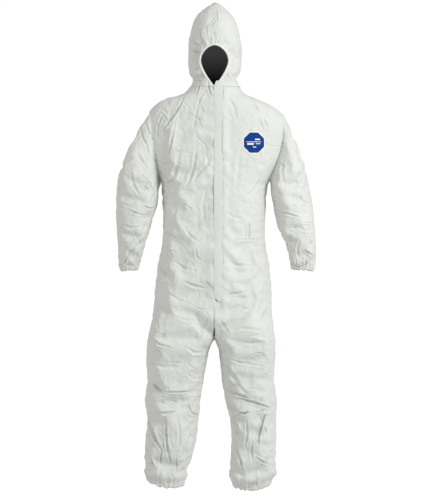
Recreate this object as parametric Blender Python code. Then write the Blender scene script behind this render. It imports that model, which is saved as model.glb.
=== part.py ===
"""Chemical protective suit: a hooded one-piece coverall of thin non-woven fabric, held in its worn shape.

Metres, +Z up. The front faces -Y and the wearer's left is +X. The origin is at the middle of the neck.
Every tube of the garment is a row of rings. A ring is (x0, z0, x1, z1, front, back): it runs through two
points of the front view, (x0, z0) at its -X end and (x1, z1) at its +X end, and from y = front to y = back.
Rings are listed from the bottom up. A turn of 0 is the ring's front, 90 degrees its +X end, 180 its back.
"""

import math

import bmesh
import bpy
from mathutils import Matrix, Vector

# Fabric
WALL = 0.002  # the thin fabric with its folds is a 2 mm wall
SEAM = 0.0012  # half the space between two panels, from the seam's own line
ROUND = 0.85  # below 1 makes a ring squarer than an ellipse
COLUMNS = 7  # faces across a quarter of the body
TUBE_STEPS = 16  # faces round a sleeve

# Heights on the body
NECK_Z = -0.012
TORSO_END_Z = -0.86
LEG_TOP_Z = -0.986
CROTCH_Z = -0.945
ARMHOLE_TOP_Z = -0.118
ARMHOLE_END_Z = -0.352
HOOD_START_Z = 0.035
ARMHOLE_CUT = 28  # degrees that the armhole takes off a panel at its widest
ARMHOLE_SHAPE = 0.35  # below 1 makes the armhole's curve squarer than a sine
SHOULDER_Y = 0.008
SHOULDER_Z = -0.150
LEFT_SHOULDER_X = 0.235
RIGHT_SHOULDER_X = -0.228
LEFT_HIP_X = 0.12
RIGHT_HIP_X = -0.135
HIP_Y = 0.004
HIP_Z = -0.910
HIP_TRIM = 0.02  # radians left open between the two hip pieces, on each side of the centre
LEG_COLUMNS = 10
LEG_TRIM = SEAM / 0.09  # radians, from the seam's half space and a leg's depth
CLEAR = 0.0006  # between fabric ends that meet
GAP = 0.0003  # between other pieces that touch

# Gusset between the legs: a saddle, lowest in the middle
GUSSET_WIDE = 0.030
GUSSET_X = -0.004
GUSSET_Y = 0.005
GUSSET_REACH = 0.112
GUSSET_RISE = 0.022
GUSSET_SAG = 0.030
GUSSET_SHAPE = 0.93
GUSSET_STEPS = 10

# Waist elastic, inside the back, between these turns in degrees
WAIST_LOW_Z = -0.568
WAIST_TOP_Z = -0.556
WAIST_START = 98
WAIST_END = 262
WAIST_IN = 0.005
WAIST_THICK = 0.001
WAIST_STEPS = 20

# Blank woven label that hangs inside the back of the neck
TAG_HALF = 0.018
TAG_Y = 0.074
TAG_THICK = 0.0008
TAG_TOP_Z = -0.024
TAG_FALL = (0, 0.004, -0.052)

# Front closure
ZIP_X = 0.008
ZIP_TOP_Z = -0.018
ZIP_END_Z = -0.795
ZIP_GAP = 0.006  # half the opening between the front panels, over the zip
FRONT_AT_NECK = -0.0895
FRONT_LEAN = 0.04375  # how far the closure comes forward for each metre down
COIL_WIDE = 0.0022
COIL_DEEP = 0.0016
COIL_APART = 0.0014
COIL_PROUD = 0.0005  # how far the coils and stops stand in front of the tapes' outer face
COIL_START = 0.005
COIL_SHORT = 0.012  # how much shorter the coils are than the tapes
STOP_DEEP = 0.0018
TOP_STOP_LONG = 0.0045
END_STOP_LONG = 0.006
ZIP_IN = 0.005  # from the front panels' outer surface in to the tapes
TAPE_WIDE = 0.011
TAPE_THICK = 0.0006
FLAP_FREE_X = -0.002
FLAP_SEWN_X = 0.0305
FLAP_TOP_Z = 0.009
FLAP_END_Z = -0.807
FLAP_OUT = 0.0045  # from the front panel to the flap's inner face
FLAP_THICK = 0.0012
FLAP_ROWS = 20
FLAP_HINGE_OUT = 0.0008  # from the flap's sewn edge to the line it folds on
FLAP_HINGE_Z = -0.4
FLAP_ROUNDING = 1.2  # how far up the flap's lower end is rounded, in flap widths
FLAP_TIP = 0.12  # width at the very end, as a share of the flap's own
STRIP_AWAY = 0.0026
STRIP_SHORT = 0.030
STRIP_WIDE = 0.0028  # the sewn strip beside the flap's fold, and its faces' distances from the panel
STRIP_OUTER = -0.0030
STRIP_INNER = -0.0012
SLIDER_LONG = 0.0105
SLIDER_WIDE = 0.009
SLIDER_PLATE = 0.0009
SLIDER_WEB = 0.0006
SLIDER_BELOW = 0.0075  # from the top of the zip down to the slider
SLIDER_PLAY = 0.0007  # between the coils and each plate
PULL_LONG = 0.024
PULL_WIDE = 0.0052
PULL_THICK = 0.0008
PULL_BELOW = 0.002
HINGE_BELOW = 0.003
PULL_EDGE = 0.0003

# Face opening: half its width, and its lowest, widest and highest points
FACE_HALF = 0.050
FACE_LOW_Z = -0.004
FACE_WIDE_Z = 0.089
FACE_TOP_Z = 0.1425
FACE_TOP_SHAPE = 0.6
FACE_LOW_SHAPE = 1.5
FACE_CENTRE_Z = 0.078  # the hem's width is measured away from this height
FACE_SPREAD = 1.1  # the hem is laid on the hood's front a little further out, so that it lies proud
FACE_STEPS = 36
FACE_HEM_WIDE = 0.0075
FACE_HEM_DEEP = 0.0056
FACE_HEM_FOLD = 0.001
CORD_IN = 0.0014
CORD_NEAR = 0.0024
CORD_FAR = 0.0058
CORD_DEEP = 0.0042
HOOD_SEAM = 0.0025  # half the space along the hood's centre seam
HOOD_TIP = 0.3
HOOD_COLUMNS = 10
NECK_COLUMNS = 24

# Elastic hems: a folded casing of fabric round a band
HEM_TALL = 0.026
HEM_DEEP = 0.0056
HEM_FOLD = 0.0012
BAND_CLEAR = 0.0004
BAND_UP = 0.005
HEM_STEPS = 20

# Octagonal label on the wearer's left chest
LABEL_X = 0.1454
LABEL_Z = -0.219
LABEL_WIDE = 0.081
PRINT_WIDE = 0.070
LABEL_THICK = 0.0005
LABEL_OUT = 0.0008

FABRIC = (0.80, 0.81, 0.78, 1.0)
HEM_WHITE = (0.86, 0.87, 0.85, 1.0)
ELASTIC = (0.88, 0.88, 0.86, 1.0)
ZIP_WHITE = (0.82, 0.83, 0.81, 1.0)
LABEL_BLUE = (0.004, 0.048, 0.24, 1.0)


def front_line(z):
    """The y of the straight centre front, which the zip and the flap follow."""
    return FRONT_AT_NECK + FRONT_LEAN * z


def flat_ring(z, x0, x1, front, back):
    return (x0, z, x1, z, front, back)


TORSO = [
    flat_ring(TORSO_END_Z, -0.226, 0.213, front_line(TORSO_END_Z), 0.148),
    flat_ring(-0.80, -0.222, 0.213, front_line(-0.80), 0.148),
    flat_ring(-0.7945, -0.2216, 0.2129, front_line(-0.7945), 0.1475),
    flat_ring(-0.755, -0.219, 0.212, front_line(-0.755), 0.144),
    flat_ring(-0.666, -0.209, 0.2016, front_line(-0.666), 0.134),
    flat_ring(-0.60, -0.198, 0.189, front_line(-0.60), 0.122),
    flat_ring(-0.55, -0.194, 0.185, front_line(-0.55), 0.118),
    flat_ring(-0.49, -0.192, 0.188, front_line(-0.49), 0.122),
    flat_ring(-0.42, -0.190, 0.190, front_line(-0.42), 0.130),
    flat_ring(-0.37, -0.194, 0.194, front_line(-0.37), 0.134),
    flat_ring(-0.33, -0.198, 0.205, front_line(-0.33), 0.136),
    flat_ring(-0.28, -0.200, 0.228, front_line(-0.28), 0.136),
    flat_ring(-0.22, -0.206, 0.245, front_line(-0.22), 0.133),
    flat_ring(-0.165, -0.220, 0.254, front_line(-0.165), 0.127),
    flat_ring(-0.128, -0.232, 0.254, front_line(-0.128), 0.120),
    flat_ring(-0.108, -0.240, 0.248, front_line(-0.108), 0.115),
    flat_ring(-0.087, -0.236, 0.224, front_line(-0.087), 0.110),
    flat_ring(-0.067, -0.212, 0.192, front_line(-0.067), 0.104),
    flat_ring(-0.044, -0.160, 0.148, front_line(-0.044), 0.097),
    flat_ring(-0.026, -0.112, 0.110, front_line(-0.026), 0.091),
    flat_ring(NECK_Z, -0.094, 0.096, front_line(NECK_Z), 0.088),
]

HIP = [
    flat_ring(LEG_TOP_Z + CLEAR, -0.249, 0.224, -0.119, 0.132),
    flat_ring(CROTCH_Z, -0.243, 0.224, -0.124, 0.138),
    flat_ring(-0.90, -0.236, 0.216, -0.127, 0.144),
    flat_ring(TORSO_END_Z - CLEAR, -0.226, 0.213, front_line(TORSO_END_Z), 0.148),
]

RIGHT_LEG = [
    flat_ring(-1.484, -0.255, -0.109, -0.068, 0.078),
    flat_ring(-1.443, -0.2535, -0.105, -0.074, 0.084),
    flat_ring(-1.391, -0.261, -0.085, -0.080, 0.090),
    flat_ring(-1.317, -0.2535, -0.0696, -0.084, 0.096),
    flat_ring(-1.243, -0.247, -0.061, -0.087, 0.098),
    flat_ring(-1.169, -0.258, -0.052, -0.093, 0.098),
    flat_ring(-1.095, -0.248, -0.0425, -0.100, 0.106),
    flat_ring(-1.021, -0.253, -0.028, -0.112, 0.120),
    flat_ring(LEG_TOP_Z, -0.249, -0.020, -0.117, 0.129),
]

LEFT_LEG = [
    flat_ring(-1.484, 0.065, 0.213, -0.068, 0.078),
    flat_ring(-1.443, 0.0574, 0.230, -0.074, 0.084),
    flat_ring(-1.391, 0.0574, 0.225, -0.080, 0.090),
    flat_ring(-1.317, 0.063, 0.230, -0.084, 0.096),
    flat_ring(-1.243, 0.059, 0.228, -0.087, 0.098),
    flat_ring(-1.169, 0.0407, 0.230, -0.093, 0.098),
    flat_ring(-1.095, 0.0278, 0.218, -0.100, 0.106),
    flat_ring(-1.021, 0.0204, 0.223, -0.112, 0.120),
    flat_ring(LEG_TOP_Z, 0.0145, 0.224, -0.117, 0.129),
]

LEFT_SLEEVE = [
    (0.2775, -0.668, 0.3756, -0.676, -0.045, 0.050),
    (0.272, -0.625, 0.378, -0.635, -0.054, 0.060),
    (0.257, -0.577, 0.376, -0.583, -0.062, 0.070),
    (0.235, -0.533, 0.3725, -0.533, -0.068, 0.080),
    (0.224, -0.488, 0.3665, -0.478, -0.073, 0.088),
    (0.2165, -0.444, 0.357, -0.415, -0.077, 0.094),
    (0.2085, -0.405, 0.338, -0.330, -0.080, 0.099),
    (0.209, -0.374, 0.312, -0.215, -0.082, 0.102),
]

RIGHT_SLEEVE = [
    (-0.355, -0.676, -0.2757, -0.670, -0.045, 0.050),
    (-0.357, -0.635, -0.266, -0.630, -0.054, 0.060),
    (-0.355, -0.583, -0.2535, -0.580, -0.062, 0.070),
    (-0.361, -0.533, -0.2387, -0.536, -0.068, 0.080),
    (-0.3665, -0.478, -0.2275, -0.492, -0.073, 0.088),
    (-0.366, -0.415, -0.212, -0.452, -0.077, 0.094),
    (-0.352, -0.330, -0.2075, -0.418, -0.080, 0.099),
    (-0.318, -0.222, -0.208, -0.387, -0.082, 0.102),
]

LEFT_SLEEVE_HEAD = [
    (0.2095, -0.370, 0.3105, -0.2105, -0.082, 0.102),
    (0.208, -0.364, 0.292, -0.158, -0.076, 0.101),
    (0.205, -0.360, 0.259, -0.110, -0.062, 0.096),
]

RIGHT_SLEEVE_HEAD = [
    (-0.3165, -0.2175, -0.2085, -0.383, -0.082, 0.102),
    (-0.296, -0.160, -0.206, -0.372, -0.076, 0.101),
    (-0.250, -0.110, -0.203, -0.362, -0.062, 0.096),
]

NECK = [
    flat_ring(NECK_Z + CLEAR, -0.094, 0.096, -0.0905, 0.088),
    flat_ring(0.010, -0.089, 0.089, -0.093, 0.088),
    flat_ring(HOOD_START_Z - CLEAR, -0.090, 0.092, -0.100, 0.100),
]

HOOD = [
    flat_ring(HOOD_START_Z, -0.090, 0.092, -0.100, 0.100),
    flat_ring(0.050, -0.092, 0.094, -0.105, 0.112),
    flat_ring(0.068, -0.093, 0.095, -0.109, 0.124),
    flat_ring(0.089, -0.093, 0.0955, -0.113, 0.135),
    flat_ring(0.105, -0.093, 0.096, -0.115, 0.141),
    flat_ring(0.120, -0.093, 0.097, -0.117, 0.145),
    flat_ring(0.130, -0.093, 0.098, -0.118, 0.147),
    flat_ring(0.138, -0.092, 0.098, -0.118, 0.148),
    flat_ring(0.145, -0.092, 0.098, -0.118, 0.148),
    flat_ring(0.152, -0.091, 0.097, -0.118, 0.148),
    flat_ring(0.175, -0.088, 0.093, -0.116, 0.145),
    flat_ring(0.200, -0.083, 0.087, -0.112, 0.138),
    flat_ring(0.222, -0.0795, 0.0805, -0.105, 0.128),
    flat_ring(0.244, -0.068, 0.068, -0.094, 0.114),
    flat_ring(0.266, -0.052, 0.050, -0.077, 0.094),
    flat_ring(0.283, -0.031, 0.031, -0.056, 0.068),
    flat_ring(0.298, -0.009, 0.009, -0.024, 0.030),
]


def clear_scene():
    for old in list(bpy.data.objects):
        bpy.data.objects.remove(old, do_unlink=True)


def material(name, colour, rough, metal=0.0):
    made = bpy.data.materials.new(name)
    made.use_nodes = True
    shader = made.node_tree.nodes["Principled BSDF"]
    shader.inputs["Base Color"].default_value = colour
    shader.inputs["Roughness"].default_value = rough
    shader.inputs["Metallic"].default_value = metal
    return made


def pivot_at(name, place):
    """An empty on a joint's axis, which the moving pieces are parented to."""
    made = bpy.data.objects.new(name, None)
    made.location = place
    bpy.context.scene.collection.objects.link(made)
    return made


def finish(name, shape, colour, rough, pivot=None):
    """Turns a bmesh into a named object with its own material."""
    mesh = bpy.data.meshes.new(name)
    shape.to_mesh(mesh)
    shape.free()
    mesh.materials.append(material(name, colour, rough))
    mesh.shade_smooth()
    mesh.set_sharp_from_angle(angle=math.radians(40))
    made = bpy.data.objects.new(name, mesh)
    bpy.context.scene.collection.objects.link(made)
    if pivot:
        made.parent = pivot
        made.matrix_parent_inverse = Matrix.Translation(pivot.location).inverted()
    return made


def shaped(value):
    """A sine or cosine, squared off by ROUND."""
    return math.copysign(abs(value) ** ROUND, value)


def ring_point(ring, turn, inset=0.0, down=0.0):
    """A point on a ring, inset from it in its own plane, and then moved down square to that plane."""
    x0, z0, x1, z1, front, back = ring
    half = math.hypot(x1 - x0, z1 - z0) / 2
    ux, uz = (x1 - x0) / 2 / half, (z1 - z0) / 2 / half
    across = shaped(math.sin(turn)) * (half - inset)
    deep = (back - front) / 2 - inset
    x = (x0 + x1) / 2 + across * ux + down * uz
    z = (z0 + z1) / 2 + across * uz - down * ux
    return Vector((x, (front + back) / 2 - deep * shaped(math.cos(turn)), z))


def turn_at_x(ring, x):
    """The turn on a ring's front half where it has this x."""
    across = (x - (ring[0] + ring[2]) / 2) / ((ring[2] - ring[0]) / 2)
    return math.asin(math.copysign(abs(across) ** (1 / ROUND), across))


def ring_between(rings, z):
    """The level ring at height z, from the two listed rings round it."""
    for low, high in zip(rings, rings[1:]):
        if low[1] <= z <= high[1]:
            part = (z - low[1]) / (high[1] - low[1])
            return tuple(a + (b - a) * part for a, b in zip(low, high))
    return rings[-1] if z > rings[-1][1] else rings[0]


def surface_y(rings, x, z):
    """The y of the front of a garment at a point of the front view."""
    ring = ring_between(rings, z)
    return ring_point(ring, turn_at_x(ring, x)).y


def panel(name, rings, starts, ends, columns, pivot=None, wall=WALL, inset=0.0, colour=FABRIC):
    """A curved panel: a grid laid from starts[i] to ends[i] round ring i, and thickened inwards."""
    sheet = bmesh.new()
    rows = len(rings) - 1
    bmesh.ops.create_grid(sheet, x_segments=columns, y_segments=rows, size=0.5)
    for vert in sheet.verts:
        row = round((vert.co.y + 0.5) * rows)
        turn = starts[row] + (ends[row] - starts[row]) * (vert.co.x + 0.5)
        vert.co = ring_point(rings[row], turn, inset)
    bmesh.ops.remove_doubles(sheet, verts=sheet.verts[:], dist=0.0002)
    made = finish(name, sheet, colour, 0.8, pivot)
    skin = made.modifiers.new("wall", "SOLIDIFY")
    skin.thickness = wall
    skin.offset = -1
    return made


def tube(name, rings, columns, pivot=None):
    """A panel that goes all the way round."""
    count = len(rings)
    return panel(name, rings, [0.0] * count, [2 * math.pi] * count, columns, pivot)


def swept(name, loops, colour, pivot=None, rough=0.6):
    """A solid ring whose skin runs through these closed loops of points, and from the last to the first."""
    skin = bmesh.new()
    steps, rows = len(loops[0]), len(loops)
    bmesh.ops.create_grid(skin, x_segments=steps, y_segments=rows, size=0.5)
    for vert in skin.verts:
        row = round((vert.co.y + 0.5) * rows)
        step = round((vert.co.x + 0.5) * steps)
        vert.co = loops[row % rows][step % steps]
    bmesh.ops.remove_doubles(skin, verts=skin.verts[:], dist=0.00001)
    bmesh.ops.recalc_face_normals(skin, faces=skin.faces[:])
    return finish(name, skin, colour, rough, pivot)


def bar(name, profile, start, along, colour, pivot=None, rough=0.5):
    """A straight bar: a flat outline of (x, y) points at the start, extruded along a vector."""
    shape = bmesh.new()
    verts = [shape.verts.new((start[0] + x, start[1] + y, start[2])) for x, y in profile]
    face = shape.faces.new(verts)
    far = bmesh.ops.extrude_face_region(shape, geom=[face])["geom"]
    moved = [item for item in far if isinstance(item, bmesh.types.BMVert)]
    bmesh.ops.translate(shape, verts=moved, vec=along)
    bmesh.ops.recalc_face_normals(shape, faces=shape.faces[:])
    return finish(name, shape, colour, rough, pivot)


def box_profile(x0, x1, y0, y1):
    return [(x0, y0), (x1, y0), (x1, y1), (x0, y1)]


# ---------------------------------------------------------------- body


def armhole_turn(z):
    """How far round from the front or the back a panel reaches: to the side seam, or to the armhole."""
    if not ARMHOLE_END_Z < z < ARMHOLE_TOP_Z:
        return math.radians(90)
    share = (z - ARMHOLE_END_Z) / (ARMHOLE_TOP_Z - ARMHOLE_END_Z)
    return math.radians(90 - ARMHOLE_CUT * math.sin(math.pi * share) ** ARMHOLE_SHAPE)


def side_trim(ring):
    return SEAM / ((ring[5] - ring[4]) / 2)


def make_body():
    right_edge, left_edge = [], []
    for ring in TORSO:
        half = ZIP_GAP if ring[1] > ZIP_END_Z else SEAM
        right_edge.append(turn_at_x(ring, ZIP_X - half))
        left_edge.append(turn_at_x(ring, ZIP_X + half))
    reach = [armhole_turn(ring[1]) - side_trim(ring) for ring in TORSO]
    back_seam = [math.pi - SEAM / ring[2] for ring in TORSO]
    back_side = [math.pi - r for r in reach]
    panel("front_left_body", TORSO, left_edge, reach, COLUMNS)
    panel("front_right_body", TORSO, [-r for r in reach], right_edge, COLUMNS)
    panel("back_left_body", TORSO, back_side, back_seam, COLUMNS)
    panel("back_right_body", TORSO, [-t for t in back_seam], [-t for t in back_side], COLUMNS)
    tube("left_sleeve_head", LEFT_SLEEVE_HEAD, TUBE_STEPS)
    tube("right_sleeve_head", RIGHT_SLEEVE_HEAD, TUBE_STEPS)


def make_hips():
    """The flexing fabric between body and legs, left and right, and the gusset between the legs."""
    near = HIP_TRIM
    far = math.pi - HIP_TRIM
    count = len(HIP)
    panel("left_hip_fold", HIP, [near] * count, [far] * count, 2 * COLUMNS)
    panel("right_hip_fold", HIP, [-far] * count, [-near] * count, 2 * COLUMNS)
    gusset = bmesh.new()
    bmesh.ops.create_grid(gusset, x_segments=2, y_segments=GUSSET_STEPS, size=0.5)
    for vert in gusset.verts:
        share = vert.co.y * 2
        sag = GUSSET_SAG * math.sqrt(1 - (GUSSET_SHAPE * share) ** 2)
        x = vert.co.x * GUSSET_WIDE + GUSSET_X
        vert.co = (x, GUSSET_Y + share * GUSSET_REACH, CROTCH_Z + GUSSET_RISE - sag)
    made = finish("crotch_gusset", gusset, FABRIC, 0.8)
    skin = made.modifiers.new("wall", "SOLIDIFY")
    skin.thickness = WALL
    skin.offset = -1


def make_waist_elastic():
    """A stretched band on the inside of the back, from side seam to side seam."""
    rings = [ring_between(TORSO, z) for z in (WAIST_LOW_Z, WAIST_TOP_Z)]
    count = len(rings)
    start, end = [math.radians(WAIST_START)] * count, [math.radians(WAIST_END)] * count
    panel("waist_elastic", rings, start, end, WAIST_STEPS, wall=WAIST_THICK, inset=WAIST_IN, colour=ELASTIC)


def make_size_label():
    """A blank woven label that hangs inside the back of the neck."""
    outline = box_profile(-TAG_HALF, TAG_HALF, TAG_Y, TAG_Y + TAG_THICK)
    bar("size_label", outline, (0, 0, TAG_TOP_Z), TAG_FALL, HEM_WHITE)


# ---------------------------------------------------------------- hems


def hem(side, place, ring, pivot):
    """A U-shaped casing that turns the end of a sleeve or a leg in round an elastic band."""
    deep, fold, tall = HEM_DEEP, HEM_FOLD, HEM_TALL
    casing = [
        (0, CLEAR),
        (0, tall),
        (deep, tall),
        (deep, CLEAR),
        (deep - fold, CLEAR),
        (deep - fold, tall - fold),
        (fold, tall - fold),
        (fold, CLEAR),
    ]
    gap = fold + BAND_CLEAR
    band = [(gap, BAND_UP), (gap, tall - gap), (deep - gap, tall - gap), (deep - gap, BAND_UP)]
    for part, outline, colour in (("hem", casing, HEM_WHITE), ("elastic", band, ELASTIC)):
        loops = []
        for inset, down in outline:
            turns = [2 * math.pi * step / HEM_STEPS for step in range(HEM_STEPS)]
            loops.append([ring_point(ring, turn, inset, down) for turn in turns])
        swept(f"{side}_{place}_{part}", loops, colour, pivot)


# ---------------------------------------------------------------- sleeves and legs


def make_sleeves():
    left = pivot_at("left_shoulder", (LEFT_SHOULDER_X, SHOULDER_Y, SHOULDER_Z))
    tube("left_sleeve", LEFT_SLEEVE, TUBE_STEPS, left)
    hem("left", "wrist", LEFT_SLEEVE[0], left)
    right = pivot_at("right_shoulder", (RIGHT_SHOULDER_X, SHOULDER_Y, SHOULDER_Z))
    tube("right_sleeve", RIGHT_SLEEVE, TUBE_STEPS, right)
    hem("right", "wrist", RIGHT_SLEEVE[0], right)


def make_legs():
    for side, rings, x in (("left", LEFT_LEG, LEFT_HIP_X), ("right", RIGHT_LEG, RIGHT_HIP_X)):
        pivot = pivot_at(f"{side}_hip", (x, HIP_Y, HIP_Z))
        count = len(rings)
        trim = LEG_TRIM
        front = [-math.pi / 2 + trim] * count, [math.pi / 2 - trim] * count
        back = [math.pi / 2 + trim] * count, [3 * math.pi / 2 - trim] * count
        panel(f"front_{side}_leg", rings, *front, LEG_COLUMNS, pivot)
        panel(f"back_{side}_leg", rings, *back, LEG_COLUMNS, pivot)
        hem(side, "ankle", rings[0], pivot)


# ---------------------------------------------------------------- hood


def opening_half(z):
    """Half the width of the face opening at a height: pointed at the chin, egg-shaped above."""
    if not FACE_LOW_Z < z < FACE_TOP_Z:
        return 0.0
    if z > FACE_WIDE_Z:
        up = (z - FACE_WIDE_Z) / (FACE_TOP_Z - FACE_WIDE_Z)
        return FACE_HALF * (1 - up**2) ** FACE_TOP_SHAPE
    down = (FACE_WIDE_Z - z) / (FACE_WIDE_Z - FACE_LOW_Z)
    return FACE_HALF * (1 - down**FACE_LOW_SHAPE)


def opening_edge(rings, sign):
    """The turn where each ring of the hood meets the face opening, or the centre seam above it."""
    edges = []
    for ring in rings:
        half = opening_half(ring[1])
        x = half + FACE_HEM_WIDE if half or ring[1] < FACE_WIDE_Z else HOOD_SEAM
        edges.append(turn_at_x(ring, sign * x))
    return edges


def face_loop(outwards, deep):
    """A loop round the face opening, moved outwards in the front view and then into the hood."""
    outline = []
    for step in range(FACE_STEPS):
        turn = 2 * math.pi * (step + 0.5) / FACE_STEPS
        rise = math.cos(turn)
        far = FACE_TOP_Z - FACE_WIDE_Z if rise > 0 else FACE_WIDE_Z - FACE_LOW_Z
        z = FACE_WIDE_Z + rise * far
        outline.append(Vector((math.copysign(opening_half(z), math.sin(turn)), 0, z)))
    centre = Vector((0, 0, FACE_CENTRE_Z))
    rings = NECK + HOOD
    points = []
    for place in outline:
        away = (place - centre).normalized()
        y = surface_y(rings, place.x * FACE_SPREAD, place.z)
        points.append(place + away * outwards + Vector((0, y + deep, 0)))
    return points


def make_hood():
    pivot = pivot_at("hood_pivot", (0, 0.050, 0.0))
    start, end = opening_edge(HOOD, 1), [math.pi - HOOD_SEAM / ring[2] for ring in HOOD]
    end[-1] = math.pi - math.asin(HOOD_TIP)
    panel("hood_left", HOOD, start, end, HOOD_COLUMNS, pivot)
    start, end = [-t for t in end], opening_edge(HOOD, -1)
    panel("hood_right", HOOD, start, end, HOOD_COLUMNS, pivot)
    wide, deep, fold = FACE_HEM_WIDE, FACE_HEM_DEEP, FACE_HEM_FOLD
    casing = [(-wide, 0.0), (0.0, 0.0), (0.0, fold), (fold - wide, fold)]
    casing += [(fold - wide, deep - fold), (0.0, deep - fold), (0.0, deep), (-wide, deep)]
    swept("face_hem", [face_loop(out, deep) for out, deep in casing], HEM_WHITE, pivot)
    cord = [(-CORD_FAR, CORD_IN), (-CORD_NEAR, CORD_IN), (-CORD_NEAR, CORD_DEEP), (-CORD_FAR, CORD_DEEP)]
    swept("face_elastic", [face_loop(out, deep) for out, deep in cord], ELASTIC, pivot)
    start, end = opening_edge(NECK, 1), [2 * math.pi + t for t in opening_edge(NECK, -1)]
    panel("neck_fold", NECK, start, end, NECK_COLUMNS)


# ---------------------------------------------------------------- closure


def closure_start(x, z, inwards):
    """A point on the straight centre front, moved in or out of the garment."""
    return (x, front_line(z) + inwards, z)


def down_the_front(length):
    return (0, -FRONT_LEAN * length, -length)


def make_zip():
    long = ZIP_TOP_Z - ZIP_END_Z
    behind = ZIP_IN
    outer_y = ZIP_IN - COIL_PROUD
    for side, sign in (("left", 1), ("right", -1)):
        near = COIL_APART / 2 + COIL_WIDE + GAP
        xs = sorted((sign * near, sign * (near + TAPE_WIDE)))
        tape = box_profile(*xs, behind, behind + TAPE_THICK)
        bar(f"zip_tape_{side}", tape, closure_start(ZIP_X, ZIP_TOP_Z, 0), down_the_front(long), ZIP_WHITE)
        xs = sorted((sign * COIL_APART / 2, sign * (COIL_APART / 2 + COIL_WIDE)))
        coil = box_profile(*xs, outer_y, outer_y + COIL_DEEP)
        top = closure_start(ZIP_X, ZIP_TOP_Z - COIL_START, 0)
        bar(f"zip_coil_{side}", coil, top, down_the_front(long - COIL_SHORT), ZIP_WHITE)
        stop = box_profile(*xs, outer_y, behind + STOP_DEEP)
        top = closure_start(ZIP_X, ZIP_TOP_Z, 0)
        bar(f"zip_top_stop_{side}", stop, top, down_the_front(TOP_STOP_LONG), ZIP_WHITE)
    outer = COIL_APART / 2 + COIL_WIDE
    stop = box_profile(-outer, outer, outer_y, behind + STOP_DEEP)
    top = closure_start(ZIP_X, ZIP_END_Z + END_STOP_LONG, 0)
    bar("zip_bottom_stop", stop, top, down_the_front(END_STOP_LONG), ZIP_WHITE)


def make_slider():
    """Two plates joined by a thin wedge, which runs between the coils."""
    top_z = ZIP_TOP_Z - SLIDER_BELOW
    middle = ZIP_IN - COIL_PROUD + COIL_DEEP / 2
    reach = COIL_DEEP / 2 + SLIDER_PLAY
    plate, web, half = SLIDER_PLATE, SLIDER_WEB / 2, SLIDER_WIDE / 2
    profile = [
        (-half, middle - reach - plate),
        (half, middle - reach - plate),
        (half, middle - reach),
        (web, middle - reach),
        (web, middle + reach),
        (half, middle + reach),
        (half, middle + reach + plate),
        (-half, middle + reach + plate),
        (-half, middle + reach),
        (-web, middle + reach),
        (-web, middle - reach),
        (-half, middle - reach),
    ]
    slider_pivot = pivot_at("slider_place", closure_start(ZIP_X, top_z, middle))
    bar("zip_slider", profile, closure_start(ZIP_X, top_z, 0), down_the_front(SLIDER_LONG), ZIP_WHITE, slider_pivot)
    return top_z, middle - reach - plate


def make_pull(top_z, front):
    """The pull tab, which hangs just in front of the slider's front plate."""
    pull_y = front - GAP - PULL_THICK
    pivot = pivot_at("pull_hinge", closure_start(ZIP_X, top_z - HINGE_BELOW, pull_y + PULL_THICK / 2))
    half = PULL_WIDE / 2
    start = closure_start(ZIP_X, top_z - PULL_BELOW, pull_y)
    tab = bar("zip_pull", box_profile(-half, half, 0, PULL_THICK), start, down_the_front(PULL_LONG), ZIP_WHITE, pivot)
    edge = tab.modifiers.new("edge", "BEVEL")
    edge.width = PULL_EDGE
    edge.segments = 1
    edge.limit_method = "ANGLE"


def make_flap():
    """The storm flap over the zip, and the strip that joins it to the wearer's left front."""
    pivot = pivot_at("flap_seam_line", closure_start(FLAP_SEWN_X + FLAP_HINGE_OUT, FLAP_HINGE_Z, -FLAP_OUT))
    flap = bmesh.new()
    bmesh.ops.create_grid(flap, x_segments=2, y_segments=FLAP_ROWS, size=0.5)
    tall = FLAP_TOP_Z - FLAP_END_Z
    wide = FLAP_SEWN_X - FLAP_FREE_X
    for vert in flap.verts:
        z = FLAP_END_Z + (vert.co.y + 0.5) * tall
        near_end = max(0.0, 1 - (z - FLAP_END_Z) / (FLAP_ROUNDING * wide))
        width = wide * (FLAP_TIP + (1 - FLAP_TIP) * math.sqrt(1 - near_end**2))
        x = (FLAP_SEWN_X + FLAP_FREE_X) / 2 + vert.co.x * width
        vert.co = closure_start(x, z, -FLAP_OUT)
    made = finish("storm_flap", flap, FABRIC, 0.8, pivot)
    skin = made.modifiers.new("wall", "SOLIDIFY")
    skin.thickness = FLAP_THICK
    skin.offset = 1
    top = FLAP_TOP_Z - STRIP_SHORT
    long = top - (FLAP_END_Z + STRIP_SHORT)
    strip = box_profile(0, STRIP_WIDE, STRIP_OUTER, STRIP_INNER)
    bar("storm_flap_seam", strip, closure_start(FLAP_SEWN_X + STRIP_AWAY, top, 0), down_the_front(long), FABRIC)


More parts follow.
